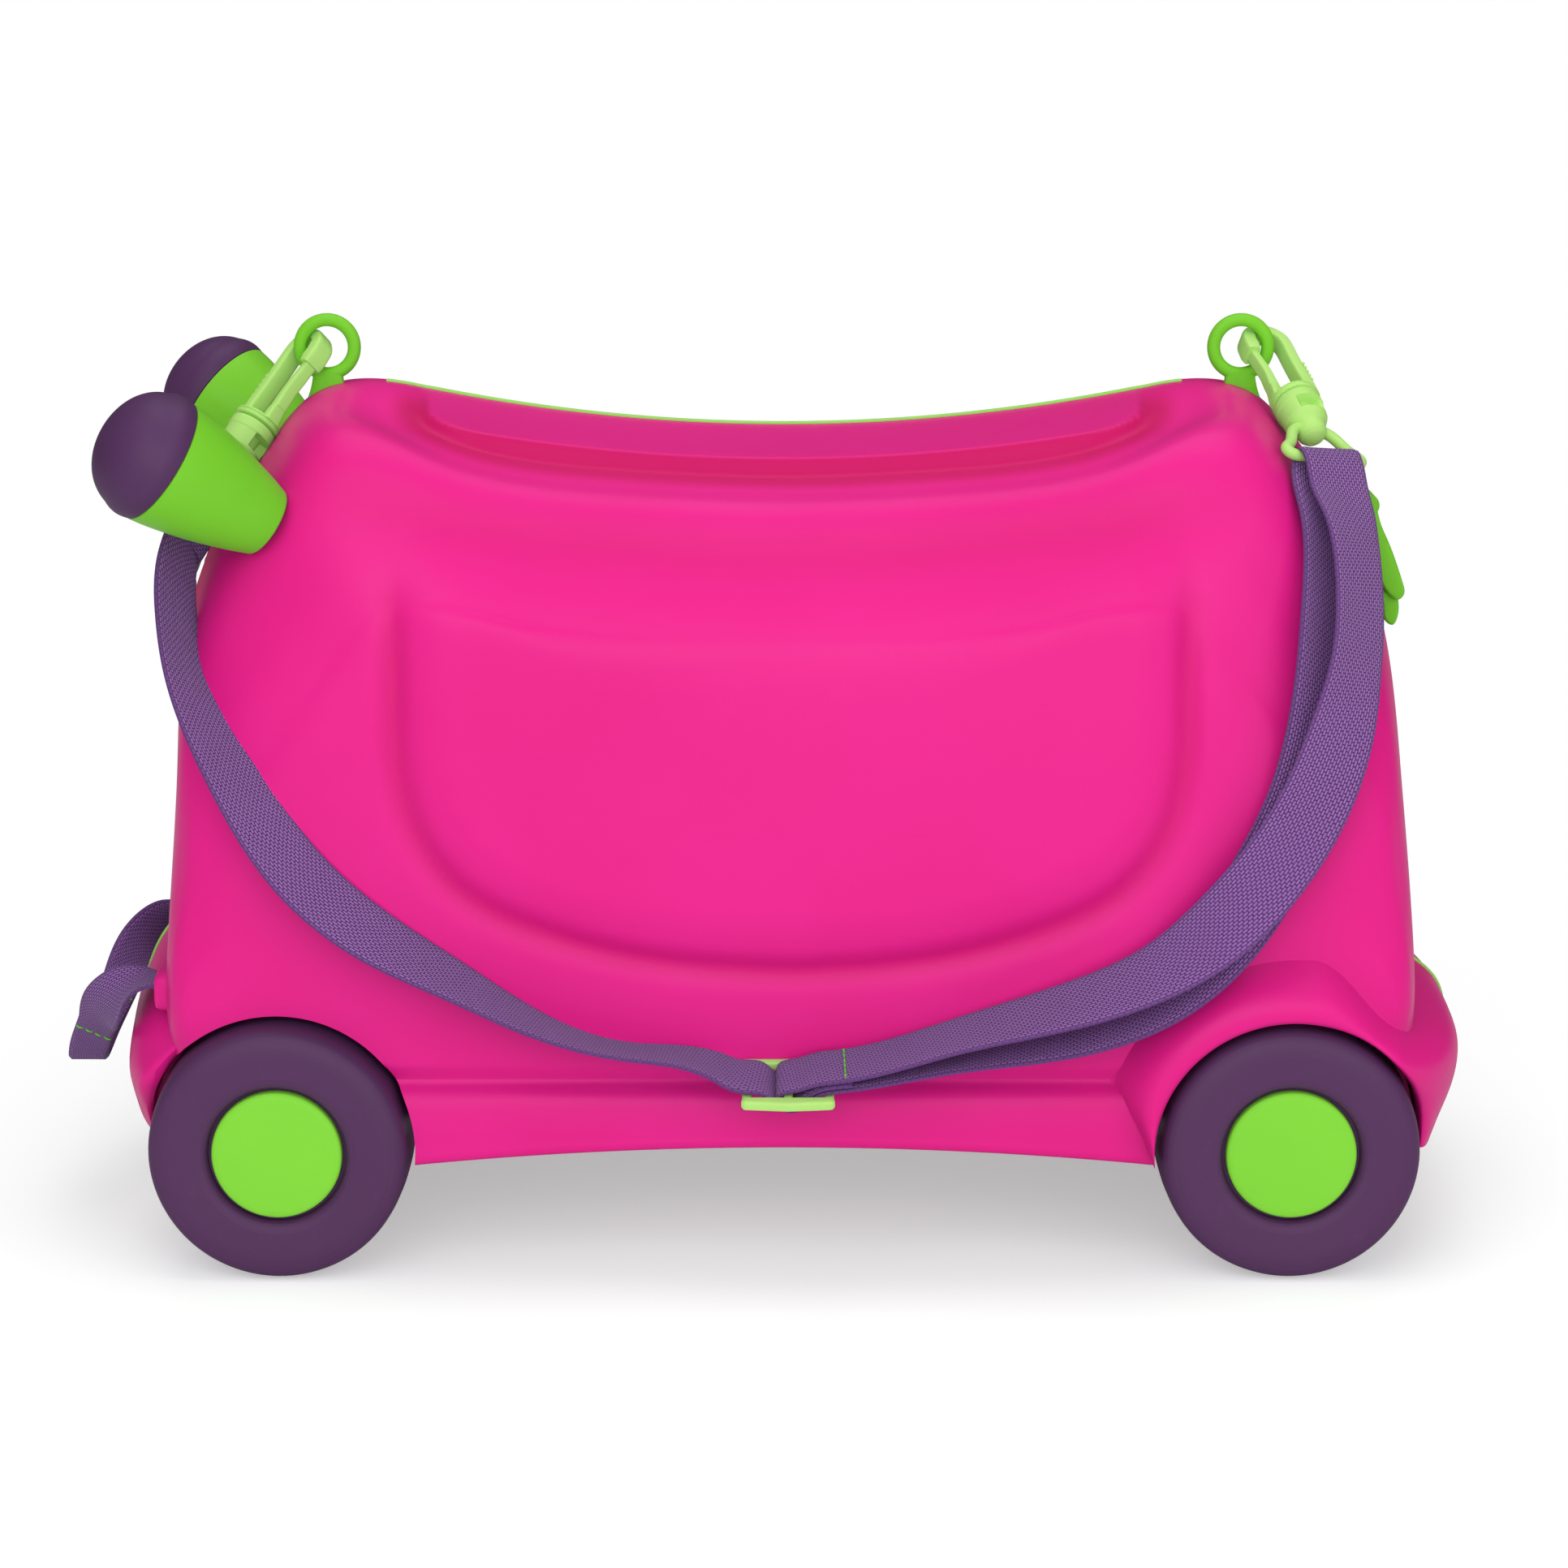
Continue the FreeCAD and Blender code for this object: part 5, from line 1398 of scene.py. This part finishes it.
def make_glide():
    """Length adjuster: a wide near bar with a shallow chevron edge, a far bar, two ends and a middle
    bar."""
    glide = Glide()
    half = webbing_width / 2 + 0.4
    bars = []

    def bar(start, end, half_wide, half_thick, chevron=0.0):
        run = np.linspace(0, 1, 40)
        path = np.stack([start[0] + (end[0] - start[0]) * run, start[1] + (end[1] - start[1]) * run], -1)
        fade = np.clip(np.minimum(run, 1 - run) / 0.05, 0, 1)
        size = 0.55 + 0.45 * np.sqrt(fade * (2 - fade))
        point = chevron * (1 - np.abs(2 * run - 1))
        wide = half_wide + point
        place = glide.centre + path[:, :1] * np.array((1.0, 0, 0))
        place = place + (path[:, 1:] + point[:, None]) * glide.across
        section = rounded_section(1, 1, 4.0, 40)[None] * np.stack([size * wide, size * half_thick], -1)[:, None]
        side = np.array((1.0, 0.0, 0.0)) if start[0] == end[0] else glide.across
        bars.append(capped(swept(place, side, section)))

    reach = glide_length / 2
    thick = glide_thickness / 2
    near = half + glide_bar / 2
    bar((-reach, near + 0.2), (reach, near + 0.2), 2.1, thick + 0.2, 0.75)
    bar((-reach, -near), (reach, -near), 1.8, thick)
    for place in (-reach + glide_bar / 2, 0, reach - glide_bar / 2):
        bar((place, -near), (place, near), glide_bar / 2 * 0.9, thick * 0.85)
    piece = make_piece("strap_adjuster", bars, "case", clip_green, 40)
    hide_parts("tri_glide")


# Tow loop: shares of the reach past the mouth, the slot's place, the drop, the change to the sewn hold, and the
# direction of the width, from the left slot to the middle

tow_shares = (
    (-0.35, 1.0, 0.0, 0.0, (0.0, -1.0, 0.0)),
    (0.15, 1.0, 0.0, 0.0, (0.0, -1.0, 0.0)),
    (0.4, 0.93, 0.12, 0.1, (0.3, -0.9, -0.4)),
    (0.62, 0.76, 0.29, 0.5, (0.6, -0.7, -0.5)),
    (0.78, 0.45, 0.55, 1.0, (0.9, -0.35, -0.2)),
    (0.95, 0.18, 0.87, 1.0, (1.0, -0.1, 0.0)),
    (1.0, 0.0, 1.0, 1.0, (1.0, 0.0, 0.0)),
)


def make_tow_loop():
    out, side, drop, hold = np.array([row[:4] for row in tow_shares]).T
    path = np.stack([-tow_mouth - (tow_reach - tow_mouth) * out, -tow_slot_place * side,
                     tow_slot_height - tow_drop * drop], -1)
    widths = np.array([row[4] for row in tow_shares])
    path = np.concatenate([path, mirrored(path[-2::-1])])
    widths = np.concatenate([widths, mirrored(widths[-2::-1])])
    hold = np.concatenate([hold, hold[-2::-1]])
    breadths = webbing_width + (tow_hold_width - webbing_width) * hold
    thicknesses = webbing_thickness + (tow_hold_thickness - webbing_thickness) * hold
    grid, uv, line, sides, length = ribbon(path, widths, breadths, thicknesses, 260)
    loop = make_piece("tow_webbing", [capped(grid)], None, webbing, 60, None, [with_ends(uv)])
    rows = []
    for share in (0.36, 0.64):
        index = int(share * len(line))
        rows += stitches(line, sides, index, tow_hold_width, tow_hold_thickness / 2, 4)
        rows += stitches(line, sides, index, tow_hold_width, -tow_hold_thickness / 2, 4)
    stitching = make_piece("tow_stitching", rows, None, thread, 60)
    for piece in (loop, stitching):
        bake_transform(piece)
    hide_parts("tow_loop")
    length[-1] * MM


# Latch flaps: outline of the flap and of the tab under it, in X and Z

flap_outline = ((210.2, 263.4), (213.4, 257.6), (216.8, 249.4), (220.6, 240.0), (223.0, 233.0), (223.4, 229.4),
                (221.4, 227.4), (217.6, 229.4), (213.0, 239.0), (209.2, 251.0), (207.4, 258.8), (207.8, 262.8))
tab_outline = ((216.2, 231.0), (220.0, 230.6), (222.0, 226.0), (221.8, 220.6), (220.0, 217.6), (217.6, 218.8),
               (216.0, 224.0))
flap_half_width = 17.0


def slab(outline, half_width, edge):
    """Rounded slab: a closed outline carried across the case, drawn in towards its middle by a quarter
    circle at both ends."""
    loop = through(np.array(outline), 73, closed=True)
    loop[-1] = loop[0]
    middle = loop[:-1].mean(axis=0)
    turn = np.linspace(0, np.pi / 2, 7)
    inset = np.concatenate([edge * (1 - np.sin(turn)), np.zeros(8), edge * (1 - np.cos(turn))])
    ends = half_width - edge * (1 - np.sin(turn[::-1]))
    place = np.concatenate([-ends, np.linspace(-half_width + edge, half_width - edge, 8), ends[::-1]])
    out = unit(loop - middle)
    shape = loop[None] - out[None] * inset[:, None, None]
    y = np.broadcast_to(place[:, None], shape.shape[:2])
    return capped(np.stack([shape[..., 0], y, shape[..., 1]], -1))


def make_latches():
    for end, name in ((-1, "front"), (1, "rear")):
        mirror = np.array((end, 1.0, 1.0))
        plate = slab(flap_outline, flap_half_width, 2.4) * mirror
        tab = slab(tab_outline, flap_half_width - 4, 1.6) * mirror
        flap = make_piece(f"{name}_latch_lever", [plate, tab], f"{name}_latch", green, 50)
        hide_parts(f"{name}_latch_flap")


def make_seal():
    """Soft seal that stands proud in the seam: along the seat, and over the tops of the two bumpers."""
    x = np.linspace(-seal_half_length, seal_half_length, 120)
    curve = through(case_loop(0, 0, 0), 4000, closed=True)
    crown = curve[curve[:, 1] > seat_height - 20]
    order = np.argsort(crown[:, 0])
    top = np.interp(x, crown[order, 0], crown[order, 1])
    seat = np.stack([x, 0 * x, with_pad(x, 0 * x, top)[0] + 0.1], -1)
    rear = rear_skirt()[0][1][0]
    rear = rear[(rear[:, 0] > rear_seal_start[0]) & (rear[:, 2] > rear_seal_start[1])]
    front = front_skirt()[0][1][0]
    front = front[(front[:, 0] < front_seal_start[0]) & (front[:, 2] > front_seal_start[1])]
    grids = []
    for path in (seat, rear * (1, 0, 1), front * (1, 0, 1)):
        grids.append(capped(swept(path, np.array((0.0, 1.0, 0.0)), rounded_section(1.0, 0.75, 2.6, 20))))
    seal = make_piece("seam_sealing", grids, "case", seal_green, 60)
    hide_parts("seam_seal")


# Fittings that keep their solid shape


def dress_fittings():
    finishes = {"hinge_pin": steel}
    for end in ("front", "rear"):
        for part in ("latch_base", "keeper"):
            finishes[f"{end}_{part}"] = green
        finishes[f"{end}_latch_pin"] = steel
        finishes[f"{end}_gate_pin"] = steel
        for half in ("left", "right"):
            finishes[f"{end}_{half}_axle"] = steel
    for name, finish in finishes.items():
        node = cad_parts[name]
        node.data.materials.clear()
        node.data.materials.append(finish.material)


# Floor, light and camera


floor_reach = 6.0
shadow_reach = (0.27, 0.52)
floor_lift = 0.4
camera_place = (0, -1.485, 0.488)
camera_tilt = 12.6
camera_sensor = 36.0
camera_focal_share = 5100 / 1932
lamps = {
    "key": ((-0.5, -1.9, 1.4), (0, 0, 0.15), 1.6, 10.5),
    "fill": ((1.2, -1.7, 0.8), (0, 0, 0.15), 1.4, 6.5),
    "front": ((0.0, -2.3, 0.45), (0, 0, 0.1), 1.8, 16.0),
    "top": ((0.0, 0.15, 1.9), (0, 0, 0.15), 1.6, 11.5),
}


def stand(name, data):
    """New object of the studio."""
    made = bpy.data.objects.new(name, data)
    bpy.context.scene.collection.objects.link(made)
    return made


def make_floor():
    """Pale floor that keeps the shadow near the case and fades to white."""
    mesh = bpy.data.meshes.new("floor")
    corners = [(floor_reach * x, floor_reach * y, 0) for x, y in ((-1, -1), (1, -1), (1, 1), (-1, 1))]
    mesh.from_pydata(corners, [], [(0, 1, 2, 3)])
    floor = stand("floor", mesh)
    finish = Finish("pale_floor", "shell_pink")
    finish.shade(Base_Color=(0.93, 0.93, 0.93, 1), Roughness=0.9, Specular_IOR_Level=0.1)
    distance = finish.node("ShaderNodeVectorMath", {"operation": "LENGTH"}, {0: finish.place()}, out="Value")
    seen = finish.light_path("Is Camera Ray")
    lift = finish.node("ShaderNodeEmission", None, {"Strength": seen * floor_lift})
    lit = Value(finish, finish.shader.outputs["BSDF"])
    lifted = finish.node("ShaderNodeAddShader", None, {0: lit, 1: lift})
    white = finish.node("ShaderNodeEmission")
    factor = distance.between(*shadow_reach) * seen
    finish.feed(finish.surface, finish.node("ShaderNodeMixShader", None, {0: factor, 1: lifted, 2: white}))
    mesh.materials.append(finish.material)


def make_world():
    """White surround that lights the case from above and in front, and less from behind."""
    world = bpy.data.worlds.new("studio")
    bpy.context.scene.world = world
    world.use_nodes = True
    background = world.node_tree.nodes["Background"]
    nodes = Nodes(world.node_tree)
    _, back, up = nodes.split(nodes.node("ShaderNodeTexCoord", out="Generated"))
    ambient = up.ramp(-0.1, 0.8, 0.22, 0.55) * back.ramp(0.35, -0.35, 0.3, 1.0)
    seen = nodes.light_path("Is Camera Ray")
    nodes.feed(background.inputs["Color"], (1, 1, 1, 1))
    nodes.feed(background.inputs["Strength"], seen + (1 - seen) * ambient)


def make_lamps():
    for name, (place, aim, size, power) in lamps.items():
        lamp = bpy.data.lights.new(name, "AREA")
        lamp.size = size
        lamp.energy = power
        holder = stand(name, lamp)
        holder.location = place
        away = np.array(place) - np.array(aim)
        pitch = math.atan2(math.hypot(away[0], away[1]), away[2])
        holder.rotation_euler = (pitch, 0, math.atan2(away[0], -away[1]))


def make_camera():
    camera = bpy.data.cameras.new("camera")
    camera.sensor_width = camera_sensor
    camera.lens = camera_sensor * camera_focal_share
    eye = stand("camera", camera)
    eye.location = camera_place
    eye.rotation_euler = (math.radians(90 - camera_tilt), 0, 0)
    bpy.context.scene.camera = eye
    bpy.context.scene.view_settings.view_transform = "Standard"


make_case()
make_wheels()
make_grips()
make_rings()
make_clips()
make_strap()
make_glide()
make_tow_loop()
make_latches()
make_seal()
dress_fittings()
make_floor()
make_world()
make_lamps()
make_camera()
